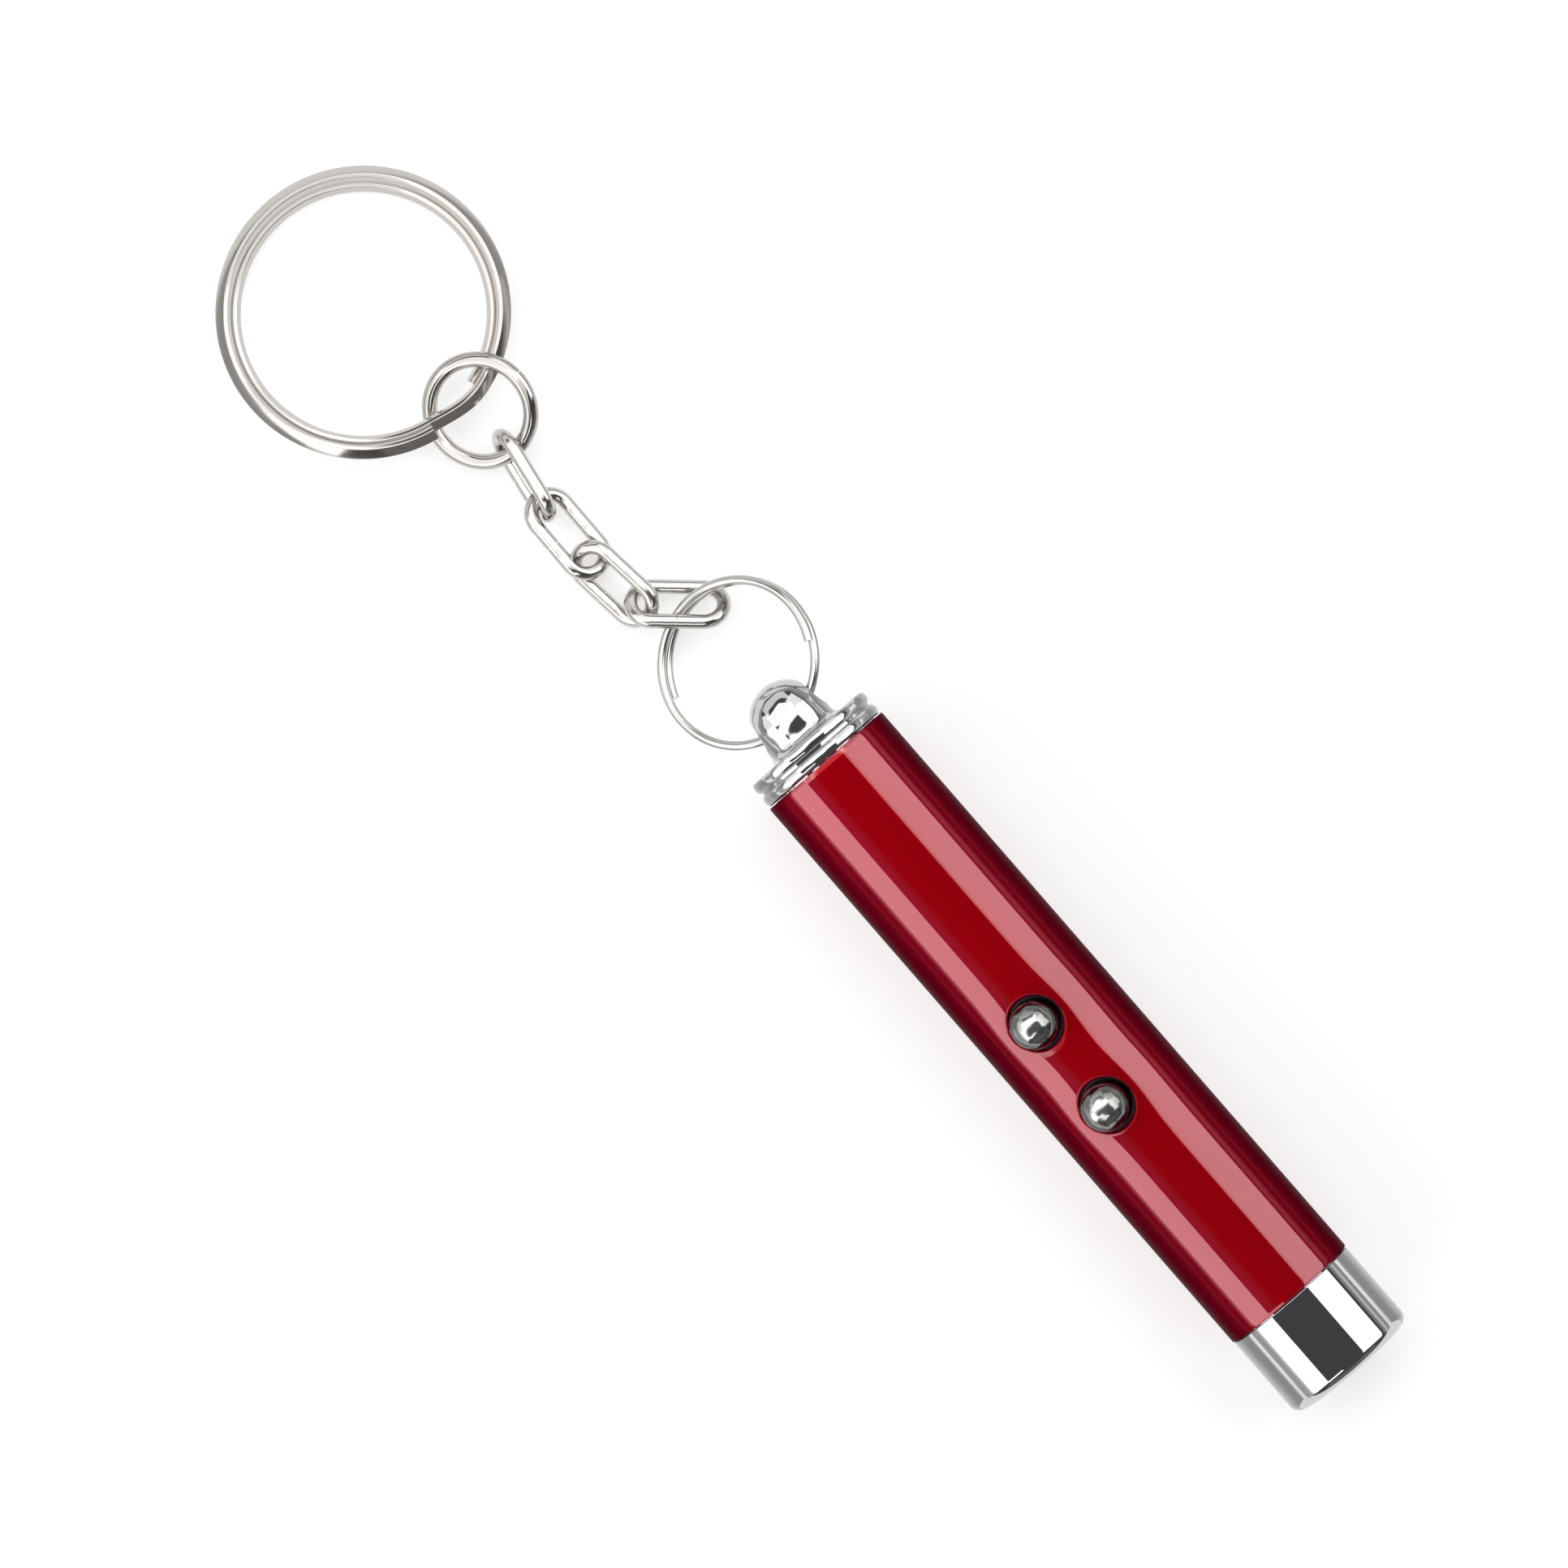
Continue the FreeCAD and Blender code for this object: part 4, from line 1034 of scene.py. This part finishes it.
# %% [markdown]
# The four oval links are one shape, cut from the same wire on the same machine, so they are four
# runs of one tree. The hairline gap of the butt joint is part of the path: the wire stops just
# short of where it began. The jump ring is the same loop, of thicker wire and with no straights.

# %% The four links and the jump ring
for number in (4, 3, 2, 1):
    name = f"chain_link_{number}"
    link = run_tree(name + "_wire", loop_tree, {
        "Straight": 4.9 * MM, "Bend Radius": 1.95 * MM, "Wire Radius": 0.7 * MM, "Seam": 0.06 * MM,
        "Finish": metals["chain_nickel"]}, lying(name))
    finish_piece(link, f"link_{number}", metals["chain_nickel"], "chain_nickel", name)

jump = run_tree("jump_ring_wire", loop_tree, {
    "Straight": 0.0, "Bend Radius": 5.0 * MM, "Wire Radius": 0.75 * MM, "Seam": 0.06 * MM,
    "Finish": metals["ring_nickel"]}, lying("jump_ring") @ Matrix.Rotation(math.pi, 4, "Z"))
finish_piece(jump, "jump_ring", metals["ring_nickel"], "ring_nickel", "jump_ring")

# %% [markdown]
# A split ring is one wire wound up to nearly twice. In the small ring the two laps lie on top of
# each other, and the wire widens a little after its first tip. The key ring's strip steps
# sideways and up in one short stretch, just before it passes its first tip. The tree turns a
# point's number into an angle, and the angle into a radius and a height with two smooth steps.

# %% The path of a wound ring
WOUND_STEPS = 620


def smooth_step(tree, value, start, length):
    """0 before start, 1 after start + length, and no corner between."""
    node = tree.nodes.new("ShaderNodeMapRange")
    node.interpolation_type = "SMOOTHSTEP"
    tree.links.new(value, node.inputs["Value"])
    for label, source in (("From Min", start), ("From Max", math_node(tree, "ADD", start, length))):
        tree.links.new(source, node.inputs[label])
    return node.outputs["Result"]


def wound_point(tree, sockets):
    """Where each point of the wire lies, as an x, a y and a z socket."""
    index = tree.nodes.new("GeometryNodeInputIndex").outputs[0]
    share = math_node(tree, "DIVIDE", index, float(WOUND_STEPS))
    angle = math_node(tree, "MULTIPLY", share, sockets["Last Angle"])
    stepped = smooth_step(tree, angle, sockets["Step Start"], sockets["Step Length"])
    risen = smooth_step(tree, angle, sockets["Rise Start"], sockets["Rise Length"])
    widened = math_node(tree, "MULTIPLY", stepped, sockets["Lane Step"])
    radius = math_node(tree, "ADD", sockets["Inner Radius"], widened)
    wound = math_node(tree, "MULTIPLY", angle, sockets["Winding"])
    turn = math_node(tree, "ADD", sockets["First Angle"], wound)
    x = math_node(tree, "MULTIPLY", radius, math_node(tree, "COSINE", turn))
    y = math_node(tree, "MULTIPLY", radius, math_node(tree, "SINE", turn))
    return x, y, math_node(tree, "MULTIPLY", math_node(tree, "SUBTRACT", risen, 0.5), sockets["Lane Rise"])


# %% [markdown]
# The section of the wire is a shape with four corners, rounded by a fillet, and its upright side
# stays upright, or a flat strip would twist as it winds. A screw modifier winds a section too,
# but at one even rise, and a split ring rises only where its laps part.

# %% Node tree: wound split ring
CORNER_STEPS = 9


def make_wound_tree():
    tree = new_tree("wound_split_ring", [
        ("Last Angle", "NodeSocketFloat", 9.6), ("First Angle", "NodeSocketFloat", 0.0),
        ("Winding", "NodeSocketFloat", 1.0), ("Inner Radius", "NodeSocketFloat", 0.007),
        ("Lane Step", "NodeSocketFloat", 0.00075), ("Lane Rise", "NodeSocketFloat", 0.0006),
        ("Step Start", "NodeSocketFloat", 3.3), ("Step Length", "NodeSocketFloat", 0.5),
        ("Rise Start", "NodeSocketFloat", 3.8), ("Rise Length", "NodeSocketFloat", 2.4),
        ("Outer Foot", "NodeSocketVector", None), ("Outer Top", "NodeSocketVector", None),
        ("Inner Top", "NodeSocketVector", None), ("Inner Foot", "NodeSocketVector", None),
        ("Corner", "NodeSocketFloat", 0.0005), ("Finish", "NodeSocketMaterial", None)])
    nodes, links = tree.nodes, tree.links
    inside, outside = nodes.new("NodeGroupInput"), nodes.new("NodeGroupOutput")
    sockets = inside.outputs
    upright = nodes.new("GeometryNodeSetCurveNormal")
    upright.mode = "Z_UP"
    links.new(bent_line(tree, WOUND_STEPS, *wound_point(tree, sockets)), upright.inputs["Curve"])
    section = nodes.new("GeometryNodeCurvePrimitiveQuadrilateral")
    section.mode = "POINTS"
    for number, label in enumerate(("Outer Foot", "Outer Top", "Inner Top", "Inner Foot"), 1):
        links.new(sockets[label], section.inputs[f"Point {number}"])
    soften = nodes.new("GeometryNodeFilletCurve")
    soften.mode = "POLY"
    set_inputs(soften, {"Count": CORNER_STEPS})
    links.new(section.outputs["Curve"], soften.inputs["Curve"])
    links.new(sockets["Corner"], soften.inputs["Radius"])
    sweep_and_paint(tree, upright.outputs["Curve"], soften.outputs["Curve"], inside, outside)
    return tree


wound_tree = make_wound_tree()
print("node tree:", wound_tree.name)

# %% [markdown]
# The small ring is round wire and the key ring is flat strip with a slanting top, so the section
# is four corners with a rounding. With a rounding of nearly half the width, the four corners
# become a round wire, and one tree serves both. Angles are counted from the wire's first tip.

# %% The small split ring and the key ring
def at(outward, upward):
    """A corner of a section, in metres. The section's second axis points down."""
    return (outward * MM, -upward * MM, 0.0)


small_ring = run_tree("small_split_ring_wire", wound_tree, {
    "Last Angle": math.radians(551.0), "First Angle": math.radians(254.0), "Winding": -1.0,
    "Inner Radius": 7.55 * MM, "Lane Step": 0.30 * MM, "Lane Rise": 0.91 * MM,
    "Step Start": 0.0, "Step Length": math.radians(120.0),
    "Rise Start": math.radians(219.0), "Rise Length": math.radians(141.0),
    "Outer Foot": at(0.45, -0.45), "Outer Top": at(0.45, 0.45), "Inner Top": at(-0.45, 0.45),
    "Inner Foot": at(-0.45, -0.45), "Corner": 0.445 * MM, "Finish": metals["pale_nickel"]},
    lying("small_split_ring"))
finish_piece(small_ring, "small_ring", metals["pale_nickel"], "ring_nickel", "small_split_ring")

key_ring = run_tree("key_ring_strip", wound_tree, {
    "Last Angle": math.radians(694.0), "First Angle": 0.0, "Winding": 1.0,
    "Inner Radius": 12.45 * MM, "Lane Step": 0.85 * MM, "Lane Rise": 0.93 * MM,
    "Step Start": math.radians(334.0), "Step Length": math.radians(26.0),
    "Rise Start": math.radians(334.0), "Rise Length": math.radians(26.0),
    "Outer Foot": at(0.92, -0.44), "Outer Top": at(-0.12, 0.46), "Inner Top": at(-0.45, 0.36),
    "Inner Foot": at(-0.88, -0.44), "Corner": 0.12 * MM, "Finish": metals["strip_nickel"]},
    lying("key_ring"))
finish_piece(key_ring, "key_ring", metals["strip_nickel"], "ring_nickel", "key_ring")

# %% [markdown]
# ## Inside
# The pieces inside the barrel keep their shapes from the drawing and get finishes of their own:
# moulded plastics with a fine grain, turned brass, drawn steel, a printed board with its tracks,
# a clear lamp and a coated lens. Moulded plastic is covered in tiny pits. Cell noise as a height
# gives that grain without any extra faces.

# %% Shader group: the grain of moulded or shrunk plastic
def make_grain():
    group, nodes, links, inside, outside = start_group(
        "moulded_grain", [("Closeness", "NodeSocketFloat")], "Height")
    grain = texture(nodes, links, "ShaderNodeTexVoronoi", {})
    grain.feature = "SMOOTH_F1"
    links.new(inside.outputs["Closeness"], grain.inputs["Scale"])
    links.new(grain.outputs["Distance"], outside.inputs["Height"])
    return group


moulded_grain = make_grain()
print("shader group:", moulded_grain.name)

# %% [markdown]
# The plastics differ in colour, in gloss and in how close their grain is. The inner metals are
# satin rather than bright, and show the lines of drawing or turning. Two tables list them, so
# one line changes one finish.

# %% Plastics and metals inside
GRAIN_DEPTH = 0.03 * MM


def plastic(name, color, clean, smudged, closeness):
    material, shader = start_material(name, color, 0.0, clean, smudged, 300.0)
    add_relief(material, shader, moulded_grain, {"Closeness": closeness}, 0.25, GRAIN_DEPTH)
    return material


def drawn_metal(name, color, clean, smudged, along, fineness):
    return plated(name, color, (clean, smudged, 250.0), (along, fineness, 0.2))


PLASTICS = {
    "black_plastic": ((0.02, 0.02, 0.022), 0.42, 0.58, 2600.0),
    "switch_plastic": ((0.05, 0.05, 0.055), 0.38, 0.52, 3200.0),
    "plunger_plastic": ((0.55, 0.54, 0.50), 0.35, 0.48, 3000.0),
    "sleeve_film": ((0.85, 0.85, 0.83), 0.30, 0.45, 900.0),
    "chip_ceramic": ((0.03, 0.03, 0.035), 0.45, 0.62, 5200.0),
}
DRAWN_METALS = {
    "brass_barrel": ((0.72, 0.53, 0.25), 0.16, 0.30, (1.0, 0.08, 0.08), 2400.0),
    "diode_can": ((0.62, 0.60, 0.56), 0.20, 0.34, (1.0, 0.1, 0.1), 2600.0),
    "contact_nickel": ((0.66, 0.64, 0.60), 0.20, 0.32, (0.2, 1.0, 1.0), 1800.0),
    "cell_steel": ((0.68, 0.67, 0.65), 0.18, 0.32, (0.1, 1.0, 1.0), 1600.0),
    "spring_steel": ((0.60, 0.59, 0.57), 0.22, 0.34, (1.0, 0.3, 0.3), 2400.0),
}
inner_finish = {name: plastic(name, *values) for name, values in PLASTICS.items()}
inner_finish.update({name: drawn_metal(name, *values) for name, values in DRAWN_METALS.items()})
print(f"{len(inner_finish)} plastics and inner metals")

# %% [markdown]
# A printed board is green because of its mask, and its copper tracks show through as raised,
# paler lines. A brick pattern has such lines between its bricks. It sets the colour and the
# height together, so each track is raised just where it is paler.

# %% The printed board, with tracks under its green mask
def make_board_finish():
    material, shader = start_material("green_board", (0.02, 0.20, 0.08), 0.0, 0.28, 0.42, 200.0)
    nodes, links = material.node_tree.nodes, material.node_tree.links
    tracks = texture(nodes, links, "ShaderNodeTexBrick", {
        "Scale": 260.0, "Mortar Size": 0.05, "Color1": (0.02, 0.20, 0.08, 1.0),
        "Color2": (0.018, 0.16, 0.065, 1.0), "Mortar": (0.05, 0.34, 0.13, 1.0)})
    bump = set_inputs(nodes.new("ShaderNodeBump"), {"Distance": 0.03 * MM})
    links.new(tracks.outputs["Color"], shader.inputs["Base Color"])
    links.new(tracks.outputs["Fac"], bump.inputs["Height"])
    links.new(bump.outputs["Normal"], shader.inputs["Normal"])
    return material


inner_finish["green_board"] = make_board_finish()
print("the board's finish:", inner_finish["green_board"].name)

# %% [markdown]
# The lamp and the lens are clear solids, so light has to bend through them. The shader's
# transmission does that with the index of the material: 1.53 for cast resin and 1.49 for the
# lens. A cast surface is never quite flat, so both keep faint waves.

# %% Clear lamp and coated lens
def clear_finish(name, color, index):
    material, shader = start_material(name, color, 0.0, 0.02, 0.07, 500.0)
    set_inputs(shader, {"Transmission Weight": 1.0, "IOR": index})
    add_waves(material, shader, 400.0, 0.01 * MM)
    return material


inner_finish["clear_lamp"] = clear_finish("clear_lamp", (0.90, 0.93, 0.95), 1.53)
inner_finish["lens_glass"] = clear_finish("lens_glass", (0.85, 0.75, 0.80), 1.49)
print("clear finishes:", inner_finish["clear_lamp"].name, "and", inner_finish["lens_glass"].name)

# %% Each inner piece takes the finish of its slot
INNER_PIECES = {
    "black_plastic": ("lamp_holder", "carrier_top", "carrier_bottom"),
    "clear_lamp": ("led_lamp",),
    "lens_glass": ("laser_lens",),
    "brass_barrel": ("laser_housing",),
    "diode_can": ("laser_diode",),
    "green_board": ("laser_board", "circuit_board"),
    "chip_ceramic": ("limiting_resistors",),
    "switch_plastic": ("laser_switch", "light_switch"),
    "plunger_plastic": ("laser_plunger", "light_plunger"),
    "contact_nickel": ("front_contact",),
    "cell_steel": ("battery_cell_1", "battery_cell_2", "battery_cell_3"),
    "sleeve_film": ("battery_sleeve",),
    "spring_steel": ("tail_spring",),
}
for slot, names in INNER_PIECES.items():
    for name in names:
        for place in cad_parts[name].material_slots:
            place.material = inner_finish[slot]
print(f"{sum(len(names) for names in INNER_PIECES.values())} inner pieces have their finish")

# %% [markdown]
# The clear lamp shows what is cast inside it: a plated cup with a drop of yellow phosphor, and
# two posts. They are seen only through the window in the nose, so turned shapes are enough. The
# cup and the posts share one piece and one finish, as the stamped frame of a real lamp does.

# %% The lamp's cup, posts and phosphor
LAMP_PLACE = LEAN @ Matrix.Translation((0.0, 0.0, -LAMP_OFFSET))


def post(y, radius, back, front):
    """A round-ended post inside the lamp, along the beam."""
    points, faces = lathe(rounded_profile([(back, 0.0, 0.0), (back, radius, 0.05), (front, radius, 0.08),
                                           (front, 0.0, 0.0)], 4), 32)
    return [(px, py + y, pz) for px, py, pz in points], faces


def make_lamp_frame():
    cup = [(-6.1, 0.0, 0.0), (-6.1, 0.95, 0.15), (-4.6, 1.5, 0.05), (-4.6, 1.36, 0.05), (-5.6, 0.85, 0.1),
           (-5.6, 0.0, 0.0)]
    shape = join(lathe(rounded_profile(cup, 6), 96), post(0.0, 0.34, -9.2, -6.0))
    shape = join(shape, post(1.95, 0.24, -9.2, -4.9))
    return store_piece("lamp_cup_and_posts", *shape, LAMP_PLACE, merge=0.00005)


finish_piece(make_lamp_frame(), "pointer", inner_finish["contact_nickel"], "contact_nickel")
phosphor = plastic("yellow_phosphor", (0.80, 0.62, 0.08), 0.40, 0.60, 4200.0)
drop = rounded_profile([(-5.58, 0.0, 0.0), (-5.58, 0.82, 0.02), (-5.3, 0.86, 0.1), (-5.2, 0.0, 0.0)], 6)
finish_piece(store_piece("phosphor_drop", *lathe(drop, 64), LAMP_PLACE), "pointer", phosphor, "clear_lamp")

# %% [markdown]
# ## Studio
# A mirror shows the room more than itself. The floor is a sheet of white card, as in a product
# photograph. Its paint glows a little to the camera, to mirrors and through glass, so it looks
# evenly white, but the glow adds no light to painted surfaces. A stronger lamp would whiten the
# card too, and would burn out the metal.

# %% Floor
FLOOR_Z = -7.0
FLOOR_REACH = 3000.0
CARD_GREY = 0.55
SHEET = [(0, 1, 2, 3)]


def flat_sheet(name, first_x, last_x, first_y, last_y, z):
    """A level rectangle."""
    corners = ((first_x, first_y), (last_x, first_y), (last_x, last_y), (first_x, last_y))
    return store_piece(name, [(x, y, z) for x, y in corners], SHEET)


def math_of(nodes, links, operation, first, second):
    """A shader Math node whose second value is a socket or a number. Returns its output."""
    node = nodes.new("ShaderNodeMath")
    node.operation = operation
    links.new(first, node.inputs[0])
    if isinstance(second, float):
        node.inputs[1].default_value = second
    else:
        links.new(second, node.inputs[1])
    return node.outputs[0]


def make_floor():
    floor = flat_sheet("floor_card", -FLOOR_REACH, FLOOR_REACH, -FLOOR_REACH, FLOOR_REACH, FLOOR_Z)
    card, nodes, links, shader = new_material("white_card")
    set_inputs(shader, {"Base Color": (CARD_GREY, CARD_GREY, CARD_GREY, 1.0), "Roughness": 0.9,
                        "Specular IOR Level": 0.0, "Emission Color": (1.0, 1.0, 1.0, 1.0)})
    rays = nodes.new("ShaderNodeLightPath")
    seen = math_of(nodes, links, "MAXIMUM", rays.outputs["Is Camera Ray"], rays.outputs["Is Glossy Ray"])
    seen = math_of(nodes, links, "MAXIMUM", seen, rays.outputs["Is Transmission Ray"])
    links.new(math_of(nodes, links, "MULTIPLY", seen, CARD_GREY), shader.inputs["Emission Strength"])
    floor.data.materials.append(card)
    return floor


make_floor()
print(f"the floor lies at {FLOOR_Z:.1f} mm")

# %% [markdown]
# Straight above the pointer the room is dark. Two long soft lights run beside it, one on each
# side, and give the bands along the barrel. Each goes on over the chain as a weaker one. Two
# smaller lights, towards the tail and towards the nose, brighten the slopes of the chrome, and
# two weak panels stand beyond both ends. One small light hangs close above the chain, and a low
# fill lights only paint. Area lights suit this best: their reflections are clean rectangles,
# and each width is given as the angle that it covers, because that is what a mirror shows.

# %% A helper that hangs a soft light
MIDDLE = Vector((-0.070, 0.0, 0.0))
ROOM = 0.6


def soft_light(name, way, width, length, radiance, seen_by="all", middle=MIDDLE, distance=ROOM):
    """A light that faces the pointer from the way given. Its length runs along the beam axis, and
    its radiance is how bright a mirror shows it."""
    lamp = bpy.data.lights.new(name, "AREA")
    lamp.shape = "RECTANGLE"
    lamp.size = width
    lamp.size_y = length
    lamp.energy = radiance * math.pi * width * length
    holder = bpy.data.objects.new(name, lamp)
    back = Vector(way).normalized()
    holder.location = middle + back * distance
    right = Vector((1.0, 0.0, 0.0)).cross(back).normalized()
    up = back.cross(right)
    holder.rotation_mode = "QUATERNION"
    holder.rotation_quaternion = Matrix((right, up, back)).transposed().to_quaternion()
    holder.visible_camera = False
    holder.visible_diffuse = seen_by != "mirrors"
    holder.visible_glossy = seen_by != "paint"
    bpy.context.scene.collection.objects.link(holder)
    return holder


def toward(sideways, along=0.0):
    """A way up into the room, turned from straight up by angles towards +Y and +X, in degrees."""
    return (math.tan(math.radians(along)), math.tan(math.radians(sideways)), 1.0)


def span(degrees):
    """The width that a light at the room's distance needs to cover an angle."""
    return 2.0 * ROOM * math.tan(math.radians(degrees / 2))


# %% Lights and the dark room above
LONG_LIGHT = Vector((0.045, 0.0, 0.0))
TAIL_LIGHT = Vector((-0.45, 0.0, 0.0))
CHAIN_MIDDLE, CHAIN_HEIGHT = Vector((-0.110, 0.0, 0.0)), 0.13
soft_light("window_side_light", toward(50.5), span(45.0), 0.47, 2.1, middle=LONG_LIGHT)
soft_light("room_side_light", toward(-62.75), span(34.5), 0.47, 2.1, middle=LONG_LIGHT)
soft_light("window_tail_light", toward(50.5), span(45.0), 0.52, 1.25, middle=TAIL_LIGHT)
soft_light("room_tail_light", toward(-62.75), span(34.5), 0.52, 1.25, middle=TAIL_LIGHT)
soft_light("tail_side_light", toward(-8.0, -24.25), span(78.0), span(43.5), 1.6)
soft_light("nose_side_light", toward(-31.0, 32.0), span(27.0), span(12.0), 1.8, "mirrors")
soft_light("nose_end_panel", toward(0.0, 69.0), span(70.0), span(22.0), 0.12)
soft_light("tail_end_panel", toward(0.0, -71.0), span(70.0), span(26.0), 0.9)
soft_light("chain_light", toward(0.0), 0.18, 0.06, 1.15, "mirrors", CHAIN_MIDDLE, CHAIN_HEIGHT)
soft_light("low_room_fill", toward(-80.0), span(40.0), span(70.0), 1.6, "paint")

world = bpy.data.worlds.new("dark_room")
bpy.context.scene.world = world
world.use_nodes = True
set_inputs(world.node_tree.nodes["Background"], {"Color": (0.086, 0.082, 0.084, 1.0), "Strength": 1.0})
print("lights:", ", ".join(sorted(lamp.name for lamp in bpy.data.lights)))

# %% [markdown]
# The edges of the chrome mirror things close to the table. Here these are painted reflections: grey
# boards on both sides, and sheets on the card with painted shade, darker beside the barrel where the pointer
# shades the card. Real ones would cast shadows and show in the picture.
# They are planes that glow by a ramp along one axis, hidden from the camera and from paint, so only metal
# finds them.

# %% Painted reflections: grey boards and strips that only the metal mirrors
BOARD_SIDE = 115.0
BOARD_GLOW = 1.5


def mirrored_only(piece, coordinate, stops):
    """A stage piece for reflections. Its brightness follows one object coordinate, in mm, by stops."""
    material, nodes, links, shader = new_material(piece.name + "_paint")
    set_inputs(shader, {"Base Color": (0.0, 0.0, 0.0, 1.0), "Specular IOR Level": 0.0,
                        "Emission Strength": BOARD_GLOW})
    where = nodes.new("ShaderNodeTexCoord")
    parts = nodes.new("ShaderNodeSeparateXYZ")
    links.new(where.outputs["Object"], parts.inputs["Vector"])
    low, high = stops[0][0], stops[-1][0]
    shades = grey_ramp(nodes, [((place - low) / (high - low), shade) for place, shade in stops])
    color = ramp_over(nodes, links, parts.outputs[coordinate], low * MM, high * MM, shades)
    links.new(color, shader.inputs["Emission Color"])
    piece.data.materials.append(material)
    piece.visible_camera = False
    piece.visible_diffuse = False
    piece.visible_shadow = False


def make_board(name, side, first, last, top, stops):
    corners = ((first, FLOOR_Z), (last, FLOOR_Z), (last, top), (first, top))
    points = [(along, side * BOARD_SIDE, high) for along, high in corners]
    mirrored_only(store_piece(name, points, SHEET), "Z", stops)


make_board("window_side_board", 1.0, -95.0, 45.0, 27.5, [(-7.0, 0.28), (4.0, 0.26), (8.0, 0.50), (14.0, 0.52),
                                                          (18.0, 0.22), (27.5, 0.20)])
make_board("room_side_board", -1.0, -95.0, 45.0, 23.0, [(-7.0, 0.36), (8.0, 0.34), (16.0, 0.40), (23.0, 0.75)])
make_board("window_chain_board", 1.0, -420.0, -95.0, 27.5, [(-7.0, 0.30), (27.5, 0.20)])
make_board("room_chain_board", -1.0, -420.0, -95.0, 23.0, [(-7.0, 0.30), (23.0, 0.22)])

# %% Sheets just above the card: one on each side of the barrel, and one under the chain
SHEET_Z = -6.95
STRIP_BACK, STRIP_FRONT = -86.0, 4.0
STRIP_NEAR, STRIP_FAR = 8.0, 108.0
# Painted shade in the strips' glow, in mm from the axis: darkest from 20 to 36, where the pointer shades the
# card, and bright beyond 60.
STRIP_STOPS = [(STRIP_NEAR, 0.55), (13.0, 0.46), (20.0, 0.29), (36.0, 0.27), (46.0, 0.38), (60.0, 0.88),
               (STRIP_FAR, 0.80)]
# The chain's sheet is a painted reflection too: lighter in its middle, darker towards its sides.
CHAIN_STOPS = [(-108.0, 0.28), (-52.0, 0.30), (-34.0, 0.70), (34.0, 0.70), (52.0, 0.30), (108.0, 0.28)]


def make_strip(name, side, stops):
    strip = flat_sheet(name, STRIP_BACK, STRIP_FRONT, side * STRIP_NEAR, side * STRIP_FAR, SHEET_Z)
    mirrored_only(strip, "Y", stops)


make_strip("window_side_strip", 1.0, STRIP_STOPS)
make_strip("room_side_strip", -1.0, [(-across, shade) for across, shade in reversed(STRIP_STOPS)])
chain_reflection_sheet = flat_sheet("chain_reflection_sheet", -330.0, STRIP_BACK, -STRIP_FAR, STRIP_FAR, SHEET_Z)
mirrored_only(chain_reflection_sheet, "Y", CHAIN_STOPS)

# %% [markdown]
# ## Camera
# The camera looks straight down from a metre above, through a long lens, and is turned so that
# the pointer lies across the picture from the key ring at the top left.

# %% Camera
SENSOR = 36.0
VIEW_WIDTH = 147.8 * MM
HEIGHT = 1.0
LOOK_AT = (-76.67 * MM, -4.40 * MM)
PICTURE_TURN = math.atan2(0.7545, 0.6563)

camera_data = bpy.data.cameras.new("overhead_camera")
camera_data.sensor_width = SENSOR
camera_data.lens = SENSOR * HEIGHT / VIEW_WIDTH
camera = bpy.data.objects.new("overhead_camera", camera_data)
camera.location = (*LOOK_AT, HEIGHT)
camera.rotation_euler = (0.0, 0.0, PICTURE_TURN)
bpy.context.scene.collection.objects.link(camera)
bpy.context.scene.camera = camera
bpy.context.scene.view_settings.view_transform = "Standard"
print(f"the lens is {camera_data.lens:.0f} mm, the picture is {VIEW_WIDTH / MM:.1f} mm wide")
